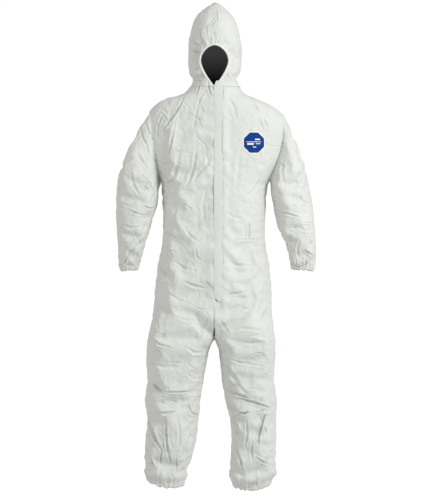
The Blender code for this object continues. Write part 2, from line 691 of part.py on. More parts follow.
def make_label():
    """An octagonal label, white with a smaller blue face, which lies on the curve of the chest."""
    for name, wide, out, colour in (
        ("label_backing", LABEL_WIDE, LABEL_OUT, HEM_WHITE),
        ("label_print", PRINT_WIDE, LABEL_OUT + LABEL_THICK + GAP, LABEL_BLUE),
    ):
        sheet = bmesh.new()
        radius = wide / 2 / math.cos(math.pi / 8)
        bmesh.ops.create_circle(sheet, cap_ends=True, segments=8, radius=radius)
        turn = Matrix.Rotation(math.pi / 8, 3, "Z")
        bmesh.ops.rotate(sheet, verts=sheet.verts[:], cent=(0, 0, 0), matrix=turn)
        for _ in range(2):
            bmesh.ops.poke(sheet, faces=[f for f in sheet.faces if len(f.verts) > 4])
            bmesh.ops.subdivide_edges(sheet, edges=sheet.edges[:], cuts=1, use_grid_fill=True)
            bmesh.ops.triangulate(sheet, faces=sheet.faces[:])
        for vert in sheet.verts:
            x, z = LABEL_X + vert.co.x, LABEL_Z + vert.co.y
            vert.co = (x, surface_y(TORSO, x, z) - out, z)
        bmesh.ops.recalc_face_normals(sheet, faces=sheet.faces[:])
        if sum(face.normal.y for face in sheet.faces) > 0:
            bmesh.ops.reverse_faces(sheet, faces=sheet.faces[:])
        made = finish(name, sheet, colour, 0.5)
        skin = made.modifiers.new("wall", "SOLIDIFY")
        skin.thickness = LABEL_THICK
        skin.offset = 1


clear_scene()
make_body()
make_hips()
make_waist_elastic()
make_size_label()
make_sleeves()
make_legs()
make_hood()
make_zip()
pull_top, slider_front = make_slider()
make_pull(pull_top, slider_front)
make_flap()
make_label()
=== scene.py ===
# %% [markdown]
# # Chemical protective suit
#
# A hooded one-piece coverall of thin non-woven plastic fabric, in the shape it has on a body: hood up,
# arms hanging, legs a little apart. The fabric is papery. It doesn't stretch, so it takes hard creases
# where the body bends it and stays smooth where it is pulled straight. Elastic gathers it at the face, the
# wrists and the ankles, and a zip runs down the middle of the front under a sewn-down flap.
#
# Lengths are in metres and folds in millimetres. The front faces -Y and the wearer's left is +X.

# %% Frame
import math
import random

import bmesh
import bpy
import numpy as np
from mathutils import Matrix, Vector, bvhtree, noise


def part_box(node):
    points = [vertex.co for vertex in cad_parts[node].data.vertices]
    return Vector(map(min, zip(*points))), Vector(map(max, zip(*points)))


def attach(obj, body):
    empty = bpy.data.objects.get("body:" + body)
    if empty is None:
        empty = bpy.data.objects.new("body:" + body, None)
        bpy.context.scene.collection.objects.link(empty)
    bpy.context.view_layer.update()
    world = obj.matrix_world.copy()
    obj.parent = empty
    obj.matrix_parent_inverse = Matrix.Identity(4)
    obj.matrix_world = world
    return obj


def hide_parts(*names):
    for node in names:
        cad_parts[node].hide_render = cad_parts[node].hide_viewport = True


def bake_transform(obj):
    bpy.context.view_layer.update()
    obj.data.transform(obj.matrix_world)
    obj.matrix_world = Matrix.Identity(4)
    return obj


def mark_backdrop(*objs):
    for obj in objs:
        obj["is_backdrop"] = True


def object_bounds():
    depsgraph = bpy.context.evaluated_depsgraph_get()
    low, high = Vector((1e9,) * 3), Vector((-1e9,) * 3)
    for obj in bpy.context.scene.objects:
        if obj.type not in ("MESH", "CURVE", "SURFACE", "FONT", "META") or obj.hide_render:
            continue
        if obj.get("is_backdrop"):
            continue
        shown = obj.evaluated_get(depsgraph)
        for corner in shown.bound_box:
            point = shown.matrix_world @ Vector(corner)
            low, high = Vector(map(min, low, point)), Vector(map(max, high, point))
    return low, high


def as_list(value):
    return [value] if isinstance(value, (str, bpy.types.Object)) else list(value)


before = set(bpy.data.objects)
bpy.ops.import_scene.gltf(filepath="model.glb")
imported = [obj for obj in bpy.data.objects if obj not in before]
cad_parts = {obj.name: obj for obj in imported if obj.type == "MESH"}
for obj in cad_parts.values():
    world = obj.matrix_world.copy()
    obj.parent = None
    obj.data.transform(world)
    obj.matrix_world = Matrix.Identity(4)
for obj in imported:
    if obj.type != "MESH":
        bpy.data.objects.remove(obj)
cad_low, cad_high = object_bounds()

PI = math.pi
SIDES = {1: "left", -1: "right"}  # the wearer's

# %% [markdown]
# ## Shape of the worn suit
# The real suit is cut flat and gets its shape from the wearer. Here each tube of the garment follows rings
# at given heights: the right and left edges in the front view, and the front and back depths.
# Curves through those rings give a smooth body, which is the cloth's starting shape before it is draped.

# %% Rings
ROUND = 0.85  # below 1 makes a ring squarer than an ellipse
ZIP_X = 0.008
NECK_Z = -0.012
HIP_Z = -0.86
CROTCH_Z = -0.945
MERGE_Z = -0.80  # above this the legs have become one trunk
ANKLE_Z = -1.484
ZIP_END_Z = -0.795
SLIT = 0.0055  # from the zip to each front panel's edge
SQUARE_Z = -1.12  # above this the legs get squarer, up to the crotch
SQUARE_LENGTH = 0.175
SQUARE_MORE = 0.33
CENTRE_SHARE = 0.16  # of a half's way round, where the front and back centre lines keep their own course

# height, right edge, left edge, front, back
BODY = [
    (-0.945, -0.247, 0.224, -0.124, 0.138),
    (-0.900, -0.238, 0.217, -0.127, 0.144),
    (-0.860, -0.228, 0.213, -0.127, 0.148),
    (-0.800, -0.222, 0.213, -0.1245, 0.148),
    (-0.755, -0.219, 0.212, -0.1225, 0.144),
    (-0.666, -0.209, 0.202, -0.1186, 0.134),
    (-0.600, -0.196, 0.187, -0.1158, 0.122),
    (-0.550, -0.191, 0.183, -0.1136, 0.118),
    (-0.490, -0.190, 0.187, -0.1109, 0.122),
    (-0.420, -0.190, 0.190, -0.1079, 0.130),
    (-0.370, -0.196, 0.197, -0.1057, 0.134),
    (-0.330, -0.210, 0.222, -0.1039, 0.136),
    (-0.280, -0.232, 0.254, -0.1018, 0.136),
    (-0.220, -0.252, 0.276, -0.0991, 0.133),
    (-0.165, -0.262, 0.284, -0.0967, 0.127),
    (-0.128, -0.258, 0.268, -0.0951, 0.120),
    (-0.112, -0.250, 0.250, -0.0944, 0.115),
    (-0.098, -0.241, 0.236, -0.0938, 0.111),
    (-0.082, -0.226, 0.213, -0.0931, 0.107),
    (-0.067, -0.204, 0.184, -0.0924, 0.102),
    (-0.054, -0.174, 0.153, -0.0918, 0.098),
    (-0.042, -0.128, 0.118, -0.0913, 0.093),
    (-0.030, -0.103, 0.102, -0.0908, 0.090),
    (-0.012, -0.092, 0.094, -0.0900, 0.088),
]
RIGHT_LEG = [
    (-1.484, -0.255, -0.109, -0.068, 0.078),
    (-1.443, -0.2535, -0.105, -0.074, 0.084),
    (-1.391, -0.260, -0.085, -0.080, 0.090),
    (-1.317, -0.2535, -0.0696, -0.084, 0.096),
    (-1.243, -0.247, -0.061, -0.087, 0.098),
    (-1.169, -0.257, -0.052, -0.093, 0.098),
    (-1.095, -0.248, -0.0425, -0.100, 0.106),
    (-1.021, -0.252, -0.028, -0.112, 0.120),
    (-0.980, -0.249, -0.019, -0.119, 0.130),
    (-0.945, -0.247, -0.001, -0.124, 0.138),
]
LEFT_LEG = [
    (-1.484, 0.065, 0.213, -0.068, 0.078),
    (-1.443, 0.0574, 0.229, -0.074, 0.084),
    (-1.391, 0.0574, 0.225, -0.080, 0.090),
    (-1.317, 0.063, 0.229, -0.084, 0.096),
    (-1.243, 0.059, 0.228, -0.087, 0.098),
    (-1.169, 0.0407, 0.230, -0.093, 0.098),
    (-1.095, 0.0278, 0.218, -0.100, 0.106),
    (-1.021, 0.0204, 0.223, -0.112, 0.120),
    (-0.980, 0.0140, 0.224, -0.119, 0.130),
    (-0.945, -0.001, 0.224, -0.124, 0.138),
]
HOOD = [
    (-0.012, -0.092, 0.094, -0.0905, 0.088),
    (0.002, -0.084, 0.087, -0.092, 0.088),
    (0.018, -0.079, 0.082, -0.095, 0.092),
    (0.038, -0.087, 0.088, -0.101, 0.102),
    (0.068, -0.093, 0.095, -0.109, 0.124),
    (0.105, -0.093, 0.096, -0.115, 0.141),
    (0.145, -0.092, 0.098, -0.118, 0.148),
    (0.175, -0.088, 0.093, -0.116, 0.145),
    (0.200, -0.083, 0.087, -0.112, 0.138),
    (0.222, -0.0785, 0.0805, -0.105, 0.128),
    (0.244, -0.068, 0.068, -0.094, 0.114),
    (0.266, -0.052, 0.050, -0.077, 0.094),
    (0.283, -0.031, 0.033, -0.056, 0.068),
    (0.298, -0.006, 0.011, -0.020, 0.026),
]
# A sleeve's rings are slanted: x and z of the inner end, x and z of the outer end, front, back
LEFT_SLEEVE = [
    (0.208, -0.364, 0.292, -0.158, -0.072, 0.101),
    (0.209, -0.374, 0.312, -0.215, -0.080, 0.102),
    (0.2085, -0.405, 0.338, -0.330, -0.080, 0.099),
    (0.2165, -0.444, 0.357, -0.415, -0.077, 0.094),
    (0.224, -0.488, 0.3655, -0.478, -0.073, 0.088),
    (0.235, -0.533, 0.3715, -0.533, -0.068, 0.080),
    (0.257, -0.577, 0.375, -0.583, -0.062, 0.070),
    (0.272, -0.625, 0.377, -0.635, -0.054, 0.060),
    (0.2815, -0.668, 0.3716, -0.676, -0.042, 0.047),
]
RIGHT_SLEEVE = [
    (-0.206, -0.372, -0.296, -0.160, -0.072, 0.101),
    (-0.208, -0.387, -0.318, -0.222, -0.080, 0.102),
    (-0.2075, -0.418, -0.352, -0.330, -0.080, 0.099),
    (-0.212, -0.452, -0.364, -0.415, -0.077, 0.094),
    (-0.2275, -0.492, -0.3655, -0.478, -0.073, 0.088),
    (-0.2387, -0.536, -0.360, -0.533, -0.068, 0.080),
    (-0.2535, -0.580, -0.355, -0.583, -0.062, 0.070),
    (-0.266, -0.630, -0.356, -0.635, -0.054, 0.060),
    (-0.2795, -0.670, -0.352, -0.676, -0.042, 0.047),
]


def smooth_rows(table, spread=0.014, step=0.002):
    """Rounds the corners of a table whose first column is the height. Returns a look-up by height."""
    rows = np.array(table)
    heights = np.arange(rows[0, 0], rows[-1, 0] + step / 2, step)
    window = np.hanning(2 * int(spread / step) + 3)[1:-1]
    window /= window.sum()
    pad = len(window) // 2
    curves = []
    for column in rows.T[1:]:
        dense = np.interp(heights, rows[:, 0], column)
        ends = 2 * dense[0] - dense[pad:0:-1], 2 * dense[-1] - dense[-2 : -pad - 2 : -1]
        curves.append(np.convolve(np.concatenate([ends[0], dense, ends[1]]), window, "valid"))

    def at(z):
        return [float(np.interp(z, heights, curve)) for curve in curves]

    return at


body_at = smooth_rows(BODY)
leg_at = {1: smooth_rows(LEFT_LEG), -1: smooth_rows(RIGHT_LEG)}
hood_at = smooth_rows(HOOD, spread=0.008)


def clamp(value, low=0.0, high=1.0):
    return max(low, min(high, value))


def eased(share):
    return share * share * (3 - 2 * share)


def shaped(value, power=ROUND):
    return math.copysign(abs(value) ** power, value)


def on_ring(ring, turn, inset=0.0, power=ROUND):
    """x and y at a turn of a level ring: 0 is the front, 90 degrees the wearer's left, 180 the back."""
    x0, x1, front, back = ring
    x = (x0 + x1) / 2 + ((x1 - x0) / 2 - inset) * shaped(math.sin(turn), power)
    y = (front + back) / 2 - ((back - front) / 2 - inset) * shaped(math.cos(turn), power)
    return x, y


def leg_power(z):
    """The legs are squarer near the crotch, where they press against each other."""
    return ROUND - SQUARE_MORE * clamp((z - SQUARE_Z) / SQUARE_LENGTH) ** 1.5


def turn_for(ring, x):
    """The turn on the front half of a ring that has this x."""
    across = (x - (ring[0] + ring[1]) / 2) / ((ring[1] - ring[0]) / 2)
    return math.asin(shaped(clamp(across, -1.0), 1 / ROUND))


def half_body(side, u, z):
    """A point of one half of the suit, from the centre front or the inseam (u 0) round to the back (u 1)."""
    leg_turn = side * PI * (2 * u - 0.5)
    if z <= CROTCH_Z:
        return Vector((*on_ring(leg_at[side](z), leg_turn, 0.0, leg_power(z)), z))
    ring = body_at(z)
    slit = SLIT if z > ZIP_END_Z else 0.0
    start = turn_for(ring, ZIP_X + side * slit)
    turn = start + (side * PI - start) * u
    if z >= MERGE_Z:
        return Vector((*on_ring(ring, turn), z))
    # Near the crotch the front and back keep the legs' places across, so only the inner walls move.
    edge = leg_at[side](CROTCH_Z)
    leg = [edge[0], ring[1], ring[2], ring[3]] if side > 0 else [ring[0], edge[1], ring[2], ring[3]]
    x, y = on_ring(leg, leg_turn, 0.0, leg_power(CROTCH_Z))
    same = turn_for(ring, x)
    if u > 0.5:
        same = side * PI - same
    rise = (z - CROTCH_Z) / (MERGE_Z - CROTCH_Z)
    broad = eased(rise)
    trunk = on_ring(ring, same + (turn - same) * broad)
    rise = min(1.0, (z - CROTCH_Z) / (HIP_Z - CROTCH_Z))
    centre = math.sqrt(1 - (1 - rise) ** 2)
    away = min(1.0, min(u, 1 - u) / CENTRE_SHARE)
    share = centre + (broad - centre) * away * away * (3 - 2 * away)
    return Vector((trunk[0], y + (trunk[1] - y) * share, z))


print("body ring at the waist:", [round(v, 4) for v in body_at(-0.55)])

# %% [markdown]
# ## Cloth
# The panels are draped as cloth. The fabric of a worn coverall is a little too big for its wearer, and that
# spare length shows as buckles. The cloth here grows by a few per cent against pins along its seams,
# which gives buckles of the right size, and the fabric's stiffness keeps them broad.

# %% Cloth helpers


def add_grid(shape, columns, rows, place, slot=None):
    """Adds a sheet of faces. place(i, j) gives each point, and slot(u, v) the slot at a share of it."""
    before = len(shape.verts), len(shape.faces)
    bmesh.ops.create_grid(shape, x_segments=columns, y_segments=rows, size=0.5)
    shape.verts.ensure_lookup_table()
    shape.faces.ensure_lookup_table()
    for face in shape.faces[before[1] :]:
        middle = face.calc_center_median()
        face.material_index = slot(middle.x + 0.5, middle.y + 0.5) if slot else 0
    for vert in shape.verts[before[0] :]:
        vert.co = place(round((vert.co.x + 0.5) * columns), round((vert.co.y + 0.5) * rows))


def new_object(name, shape):
    mesh = bpy.data.meshes.new(name)
    shape.to_mesh(mesh)
    shape.free()
    made = bpy.data.objects.new(name, mesh)
    bpy.context.scene.collection.objects.link(made)
    return made


def smooth_object(name, shape):
    for face in shape.faces:
        face.smooth = True
    return new_object(name, shape)


def sheet_object(name, columns, rows, place):
    """A smooth open sheet."""
    shape = bmesh.new()
    add_grid(shape, columns, rows, place)
    return smooth_object(name, shape)


def tube_object(name, columns, rows, place):
    """A smooth sheet whose edges meet, merged there into a closed skin."""
    shape = bmesh.new()
    add_grid(shape, columns, rows, place)
    bmesh.ops.remove_doubles(shape, verts=shape.verts[:], dist=0.00002)
    bmesh.ops.recalc_face_normals(shape, faces=shape.faces[:])
    return smooth_object(name, shape)


def points_of(obj):
    co = np.empty(len(obj.data.vertices) * 3)
    obj.data.vertices.foreach_get("co", co)
    return co.reshape(-1, 3)


def normals_of(obj):
    found = np.empty(len(obj.data.vertices) * 3)
    obj.data.vertices.foreach_get("normal", found)
    return found.reshape(-1, 3)


def set_points(obj, co):
    obj.data.vertices.foreach_set("co", np.asarray(co, np.float32).ravel())
    obj.data.update()


def bake_modifiers(obj):
    """Replaces the mesh by what its modifiers make of it."""
    graph = bpy.context.evaluated_depsgraph_get()
    made = bpy.data.meshes.new_from_object(obj.evaluated_get(graph))
    obj.modifiers.clear()
    obj.data = made
    return obj


def drape(obj, weights, grow, frames):
    """Runs the cloth with these pin weights, one for each point, and keeps the last frame's shape."""
    group = obj.vertex_groups.new(name="pin")
    for index, weight in enumerate(weights):
        if weight > 0.001:
            group.add([index], float(weight), "REPLACE")
    cloth = obj.modifiers.new("drape", "CLOTH")
    cloth.settings.quality = 5
    cloth.settings.mass = 0.12
    cloth.settings.tension_stiffness = 30
    cloth.settings.compression_stiffness = 30
    cloth.settings.shear_stiffness = 12
    cloth.settings.bending_stiffness = 6.0
    cloth.settings.air_damping = 3
    cloth.settings.vertex_group_mass = "pin"
    cloth.settings.pin_stiffness = 4.0
    cloth.settings.shrink_min = -grow
    cloth.settings.shrink_max = -grow
    cloth.settings.effector_weights.gravity = 0.4
    cloth.collision_settings.use_collision = False
    cloth.point_cache.frame_start = 1
    cloth.point_cache.frame_end = frames
    scene = bpy.context.scene
    for frame_number in range(1, frames + 1):
        scene.frame_set(frame_number)
    bake_modifiers(obj)
    scene.frame_set(1)
    obj.vertex_groups.clear()
    return obj


def refine(obj, levels):
    """Smooth subdivision, which turns the draped cloth's coarse faces into fabric."""
    finer = obj.modifiers.new("finer", "SUBSURF")
    finer.levels = finer.render_levels = levels
    finer.boundary_smooth = "PRESERVE_CORNERS"
    finer.uv_smooth = "NONE"
    return bake_modifiers(obj)


def ramp(values, low, high):
    """Rises softly from 0 at low to 1 at high."""
    return eased(np.clip((np.asarray(values) - low) / (high - low), 0, 1))


def near_line(values, place, reach):
    return 1 - ramp(np.abs(values - place), 0, reach)


print("cloth steps:", "14 to 22 for each piece")


# %% [markdown]
# ## Folds
# Besides the loose buckles, the fabric has sharp folds where it is pressed together: under the arms, at
# the elbows, in the groin, behind the knees and above the ankles. The cloth's faces are too coarse to make
# them, and much finer cloth would take hours. So each is a line in the front view that is pressed in, with a
# soft lip on both sides, and it fades out at its ends.

# %% Fold helpers
FOLD_STRENGTH = 1.8
FOLD_WIDTH = 0.72
DIP_POWER = 1.1  # 1 makes the fold's bottom a sharp crease, 2 a round trough
LIP_HEIGHT, LIP_PLACE, LIP_WIDTH = 0.5, 2.0, 0.9  # as shares of the fold's depth and width


def press(obj, folds, facing=-1, strength=FOLD_STRENGTH):
    """Presses folds into the front (facing -1) or the back (1). A fold is a width, a depth and its points."""
    co, out = points_of(obj), normals_of(obj)
    sees = np.clip((out[:, 1] * facing - 0.02) / 0.25, 0, 1)
    flat = co[:, [0, 2]] * 1000
    move = np.zeros(len(co))
    for width, depth, *line in folds:
        width *= FOLD_WIDTH
        line = np.array(line, float)
        spread = 5 * width
        box = line.min(0) - spread, line.max(0) + spread
        near = np.nonzero(((flat > box[0]) & (flat < box[1])).all(1) & (sees > 0))[0]
        if not len(near):
            continue
        lengths = np.linalg.norm(np.diff(line, axis=0), axis=1)
        total, done = lengths.sum(), 0.0
        best, along = np.full(len(near), 1e9), np.zeros(len(near))
        for start, end, length in zip(line, line[1:], lengths):
            way = (end - start) / length
            run = np.clip((flat[near] - start) @ way, 0, length)
            gap = np.linalg.norm(flat[near] - start - run[:, None] * way, axis=1)
            along = np.where(gap < best, (done + run) / total, along)
            best = np.minimum(best, gap)
            done += length
        fade = np.sin(PI * np.clip(0.06 + 0.88 * along, 0, 1)) ** 0.7
        narrow = width * (0.55 + 0.45 * fade)
        dip = np.exp(-((best / narrow) ** DIP_POWER))
        lip = LIP_HEIGHT * np.exp(-(((best - LIP_PLACE * narrow) / (LIP_WIDTH * narrow)) ** 2))
        move[near] += strength * depth * fade * (lip - dip)
    set_points(obj, co + out * (move * sees / 1000)[:, None])


def crumple(obj, size, height, seed, stretch=(1, 1, 1), keep=None):
    """Small flat facets with creases between them, as in paper that has been unfolded again."""
    co, out = points_of(obj), normals_of(obj)
    scaled = co / (size * np.array(stretch)) + seed
    high = np.empty(len(co))
    for index, place in enumerate(scaled.tolist()):
        drift = noise.noise_vector(place)
        near = noise.voronoi(Vector(place) + drift * 0.45, distance_metric="DISTANCE")[0]
        high[index] = near[1] - near[0]
    high = np.minimum(high, 0.5) - 0.22
    if keep is not None:
        high *= keep
    set_points(obj, co + out * (high * height)[:, None])


def sway(obj, size, height, seed, stretch=(1, 1, 1), keep=None):
    """Broad, soft unevenness."""
    co, out = points_of(obj), normals_of(obj)
    scaled = co / (size * np.array(stretch)) + seed
    high = np.array([noise.noise(place) for place in scaled.tolist()])
    if keep is not None:
        high *= keep
    set_points(obj, co + out * (high * height)[:, None])


def small_folds(seed, count, low, high, lean, long=(18, 60), deep=(0.8, 1.9)):
    """Short creases at random places in a box of the front view. lean is their usual angle, in degrees."""
    chance = random.Random(seed)
    made = []
    for _ in range(count):
        x, z = chance.uniform(low[0], high[0]), chance.uniform(low[1], high[1])
        angle = math.radians(chance.gauss(lean, 28))
        length = chance.uniform(*long)
        bend = chance.uniform(-0.5, 0.5)
        line = [(x, z)]
        for step in (0.5, 1.0):
            turned = angle + bend * (step - 0.25)
            line.append((x + length * step * math.cos(turned), z + length * step * math.sin(turned)))
        made.append((chance.uniform(2.6, 4.4), chance.uniform(*deep), *line))
    return made


# %% Fold lists
HOOD_FOLDS = [
    (3, 2.2, (-52, 200), (-47, 137)),
    (3, 1.8, (-31, 211), (-28, 170)),
    (3, 2.5, (9, 266), (9, 237), (-20, 200)),
    (3, 1.5, (6, 189), (6, 152)),
    (2.4, 2.6, (-44, 126), (-83, 159)),
    (2.4, 2.4, (-54, 107), (-87, 122)),
    (2, 1.6, (-57, 98), (-87, 135)),
    (2.4, 2.2, (-57, 74), (-87, 100)),
    (2.4, 2, (-57, 56), (-80, 48)),
    (2.4, 1.6, (-35, 137), (-50, 170)),
    (3, 1.5, (35, 137), (43, 178)),
    (3, 1.4, (54, 96), (80, 107)),
    (3, 1.2, (54, 67), (80, 59)),
    (4, 3, (-70, 18), (-46, 4)),
    (4, 3, (82, 20), (54, 7)),
]
BODY_FOLDS = [
    (4, 3, (-57, 18), (-56, -15), (-68, -48)),
    (4, 3.2, (-26, 7), (-20, -22), (-9, -57)),
    (5, 2.6, (-35, -26), (-54, -56), (-65, -100), (-78, -165)),
    (5, 4.6, (-114, -51), (-128, -85), (-146, -111), (-184, -163), (-188, -189)),
    (4, 2.6, (-189, -104), (-208, -157), (-210, -204)),
    (5, 3, (-142, -126), (-154, -189), (-166, -244), (-168, -270)),
    (9, 3.4, (-131, -252), (-135, -296), (-151, -340), (-174, -392), (-176, -418)),
    (7, 2.4, (-68, -237), (-76, -307), (-94, -359), (-107, -385)),
    (7, 2.6, (-13, -255), (-28, -303), (-62, -333), (-80, -365)),
    (4, 2, (-194, -259), (-179, -281), (-157, -296)),
    (6, 2.4, (-139, -466), (-150, -488), (-159, -511)),
    (7, 1.8, (-31, -392), (-43, -448), (-39, -511)),
    (4, 3, (-183, -551), (-157, -562), (-128, -577)),
    (3.5, 2.4, (-179, -614), (-139, -620)),
    (4.5, 3.2, (-203, -670), (-191, -692), (-174, -710)),
    (4, 2.4, (-68, -607), (-67, -636), (-50, -655)),
    (6, 2, (-113, -525), (-91, -562), (-54, -588)),
    (6, 2.2, (-146, -659), (-113, -681), (-68, -692)),
    (6, 2.4, (-117, -729), (-76, -747), (-31, -755)),
    (6, 2, (-172, -770), (-135, -799), (-91, -810)),
    (4, 2.4, (142, -69), (154, -89), (165, -107)),
    (4, 2.4, (165, -131), (172, -152), (178, -174)),
    (4, 2.2, (179, -131), (189, -148), (198, -166)),
    (7, 1.6, (50, -52), (72, -89), (83, -141)),
    (10, 1.4, (94, -244), (87, -318), (80, -392)),
    (7, 2, (176, -340), (154, -385), (120, -418)),
    (4, 3, (68, -574), (117, -577), (165, -574)),
    (4.5, 2.4, (126, -518), (127, -548), (125, -574)),
    (4, 2.8, (176, -640), (168, -666), (165, -692)),
    (4, 2.2, (191, -618), (179, -659), (168, -703)),
    (6, 1.6, (43, -474), (65, -492), (105, -500)),
    (7, 1.8, (54, -659), (87, -673), (131, -673)),
    (4, 2.6, (-72, -825), (-50, -832), (-24, -832)),
    (4.5, 3, (-142, -860), (-102, -873), (-57, -873)),
    (5, 3, (34, -792), (57, -777), (86, -773), (127, -766)),
    (3, 1.8, (91, -788), (120, -790)),
    (3, 1.8, (94, -808), (124, -810)),
    (3, 1.8, (94, -829), (124, -829)),
    (3, 1.8, (94, -847), (124, -850)),
    (3, 1.6, (91, -868), (120, -870)),
    (4, 3.4, (-3, -821), (-3, -873), (-3, -932)),
    (6, 2.4, (-24, -866), (-43, -899), (-57, -940)),
    (6, 2, (17, -866), (35, -895), (54, -925)),
    (5, 3.4, (202, -809), (183, -844), (167, -873)),
    (5, 2.6, (67, -910), (98, -903), (139, -905), (179, -912)),
    (5, 3.6, (-229, -936), (-205, -962), (-161, -972)),
    (6, 2.4, (-105, -969), (-76, -992), (-35, -992)),
    (7, 2, (-228, -1029), (-191, -1047), (-139, -1043)),
    (3.6, 4, (-232, -1106), (-213, -1121), (-192, -1136)),
    (4, 3.2, (-179, -1136), (-135, -1138), (-87, -1134)),
    (6, 2.2, (-105, -1066), (-80, -1088), (-39, -1088)),
    (6, 3.6, (-205, -1214), (-179, -1217), (-150, -1210)),
    (6, 5, (-246, -1228), (-235, -1269), (-216, -1317), (-195, -1350)),
    (4.5, 3.6, (-181, -1228), (-179, -1280), (-176, -1330), (-168, -1376), (-161, -1406)),
    (4, 3, (-194, -1347), (-198, -1376), (-198, -1406)),
    (6, 2.2, (-135, -1236), (-128, -1288), (-131, -1343)),
    (5, 2.6, (-98, -1184), (-87, -1214), (-54, -1228)),
    (6, 2.4, (-83, -1280), (-98, -1332), (-113, -1373)),
    (3.5, 2.8, (-91, -1410), (-102, -1421), (-111, -1434)),
    (4, 2.4, (-239, -1373), (-231, -1402), (-220, -1432)),
    (4, 2.2, (-142, -1384), (-139, -1413), (-146, -1443)),
    (3, 2.6, (127, -1003), (154, -995), (183, -992)),
    (5, 2.8, (61, -1018), (94, -1029), (128, -1034), (179, -1043)),
    (9, 3.4, (17, -995), (37, -1043), (72, -1084), (98, -1125), (118, -1143)),
    (5, 3, (35, -1125), (61, -1136), (87, -1147), (120, -1158)),
    (5, 3.6, (91, -1162), (135, -1173), (181, -1188), (209, -1199)),
    (3.5, 3, (155, -1212), (172, -1208), (188, -1199)),
    (5, 5, (92, -1214), (109, -1217), (124, -1210)),
    (4.5, 4.4, (205, -1202), (181, -1228), (174, -1258), (162, -1304), (162, -1336)),
    (3.5, 3, (191, -1228), (214, -1219)),
    (8, 4, (68, -1210), (76, -1251), (87, -1295)),
    (5, 2.6, (117, -1243), (120, -1291), (113, -1339)),
    (5, 2.6, (139, -1317), (135, -1362), (142, -1399)),
    (4, 3.4, (148, -1376), (176, -1395), (207, -1413)),
    (3.5, 2.6, (186, -1439), (198, -1432), (209, -1427)),
    (5, 2.6, (80, -1343), (94, -1388), (105, -1428)),
    (6, 1.8, (94, -951), (128, -958), (168, -955)),
    (4, 3, (43, -1169), (54, -1195), (80, -1206)),
]
RIGHT_SLEEVE_FOLDS = [
    (5, 3.6, (-276, -148), (-265, -200), (-250, -229), (-242, -270)),
    (5, 3, (-257, -137), (-242, -183), (-210, -226)),
    (5, 3.2, (-288, -255), (-272, -281), (-246, -318)),
    (3.4, 4.2, (-276, -329), (-242, -365), (-220, -400)),
    (3.5, 2.6, (-231, -270), (-220, -281), (-205, -289)),
    (6, 2.6, (-309, -318), (-302, -370), (-276, -414)),
    (4.5, 3.6, (-316, -466), (-294, -477), (-268, -485)),
    (4, 3.6, (-224, -459), (-242, -462), (-261, -451)),
    (5, 2.4, (-346, -440), (-320, -451), (-290, -444)),
    (6, 2.4, (-342, -518), (-309, -533), (-272, -529)),
    (5, 2.4, (-253, -511), (-265, -555), (-287, -588)),
    (4.5, 3.8, (-292, -607), (-315, -629), (-340, -670)),
    (4, 2.4, (-276, -599), (-287, -633), (-302, -662)),
    (5, 2.2, (-353, -577), (-335, -592), (-309, -592)),
    (4, 2.4, (-235, -340), (-228, -377), (-231, -418)),
]
LEFT_SLEEVE_FOLDS = [
    (6, 2.6, (272, -166), (283, -200), (290, -237)),
    (5, 2.6, (302, -244), (313, -266), (326, -287)),
    (4.5, 3, (216, -385), (220, -407), (224, -429)),
    (7, 2, (253, -281), (246, -329), (257, -377)),
    (4.5, 3.4, (224, -470), (261, -479), (302, -492)),
    (5, 2.4, (309, -414), (327, -437), (357, -444)),
    (5, 2.8, (239, -536), (250, -570), (265, -596)),
    (4, 2.8, (331, -614), (353, -629), (368, -640)),
    (4, 3.4, (279, -640), (290, -662), (305, -683)),
    (6, 2, (294, -525), (324, -540), (361, -540)),
    (5, 2.4, (316, -577), (305, -610), (309, -644)),
    (3.5, 2.2, (339, -644), (339, -662), (335, -681)),
]
BACK_FOLDS = [
    (7, 2.6, (-120, -90), (-60, -150), (0, -170)),
    (7, 2.6, (125, -90), (70, -145), (10, -165)),
    (9, 2.6, (-150, -300), (-90, -340), (-30, -350)),
    (9, 2.6, (160, -290), (100, -335), (40, -345)),
    (6, 2.8, (-160, -500), (-80, -530), (-10, -525)),
    (6, 2.8, (165, -505), (90, -535), (20, -530)),
    (6, 2.4, (-140, -590), (-70, -575), (10, -590)),
    (6, 2.4, (140, -585), (80, -600), (20, -592)),
    (8, 3.0, (-180, -860), (-110, -900), (-40, -915)),
    (8, 3.0, (180, -860), (110, -900), (40, -915)),
    (5, 2.6, (-200, -960), (-130, -985), (-60, -975)),
    (5, 2.6, (200, -960), (130, -985), (60, -975)),
    (6, 3.6, (-230, -1180), (-160, -1200), (-80, -1185)),
    (6, 3.6, (215, -1180), (150, -1205), (70, -1190)),
    (5, 3.0, (-220, -1235), (-150, -1225), (-85, -1240)),
    (5, 3.0, (205, -1230), (145, -1225), (75, -1245)),
    (6, 3.0, (-190, -1280), (-180, -1350), (-190, -1410)),
    (6, 3.0, (150, -1275), (145, -1340), (155, -1405)),
]
LOOSE_FOLDS = [
    *small_folds(1, 46, (-215, -400), (-20, -60), -62),
    *small_folds(2, 26, (-200, -800), (-20, -420), -35),
    *small_folds(3, 20, (60, -300), (240, -70), -75, deep=(0.6, 1.2)),
    *small_folds(4, 24, (40, -800), (200, -420), 0, deep=(0.6, 1.3)),
    *small_folds(5, 40, (-245, -1180), (-30, -820), -8),
    *small_folds(6, 34, (20, -1180), (210, -820), 8),
    *small_folds(7, 34, (-250, -1470), (-90, -1190), -78),
    *small_folds(8, 34, (60, -1470), (220, -1190), 80),
]
BACK_LOOSE_FOLDS = [
    *small_folds(11, 50, (-210, -500), (210, -60), -40),
    *small_folds(12, 40, (-210, -900), (200, -480), 5),
    *small_folds(13, 40, (-250, -1450), (-80, -900), -60),
    *small_folds(14, 40, (60, -1450), (220, -900), 70),
]
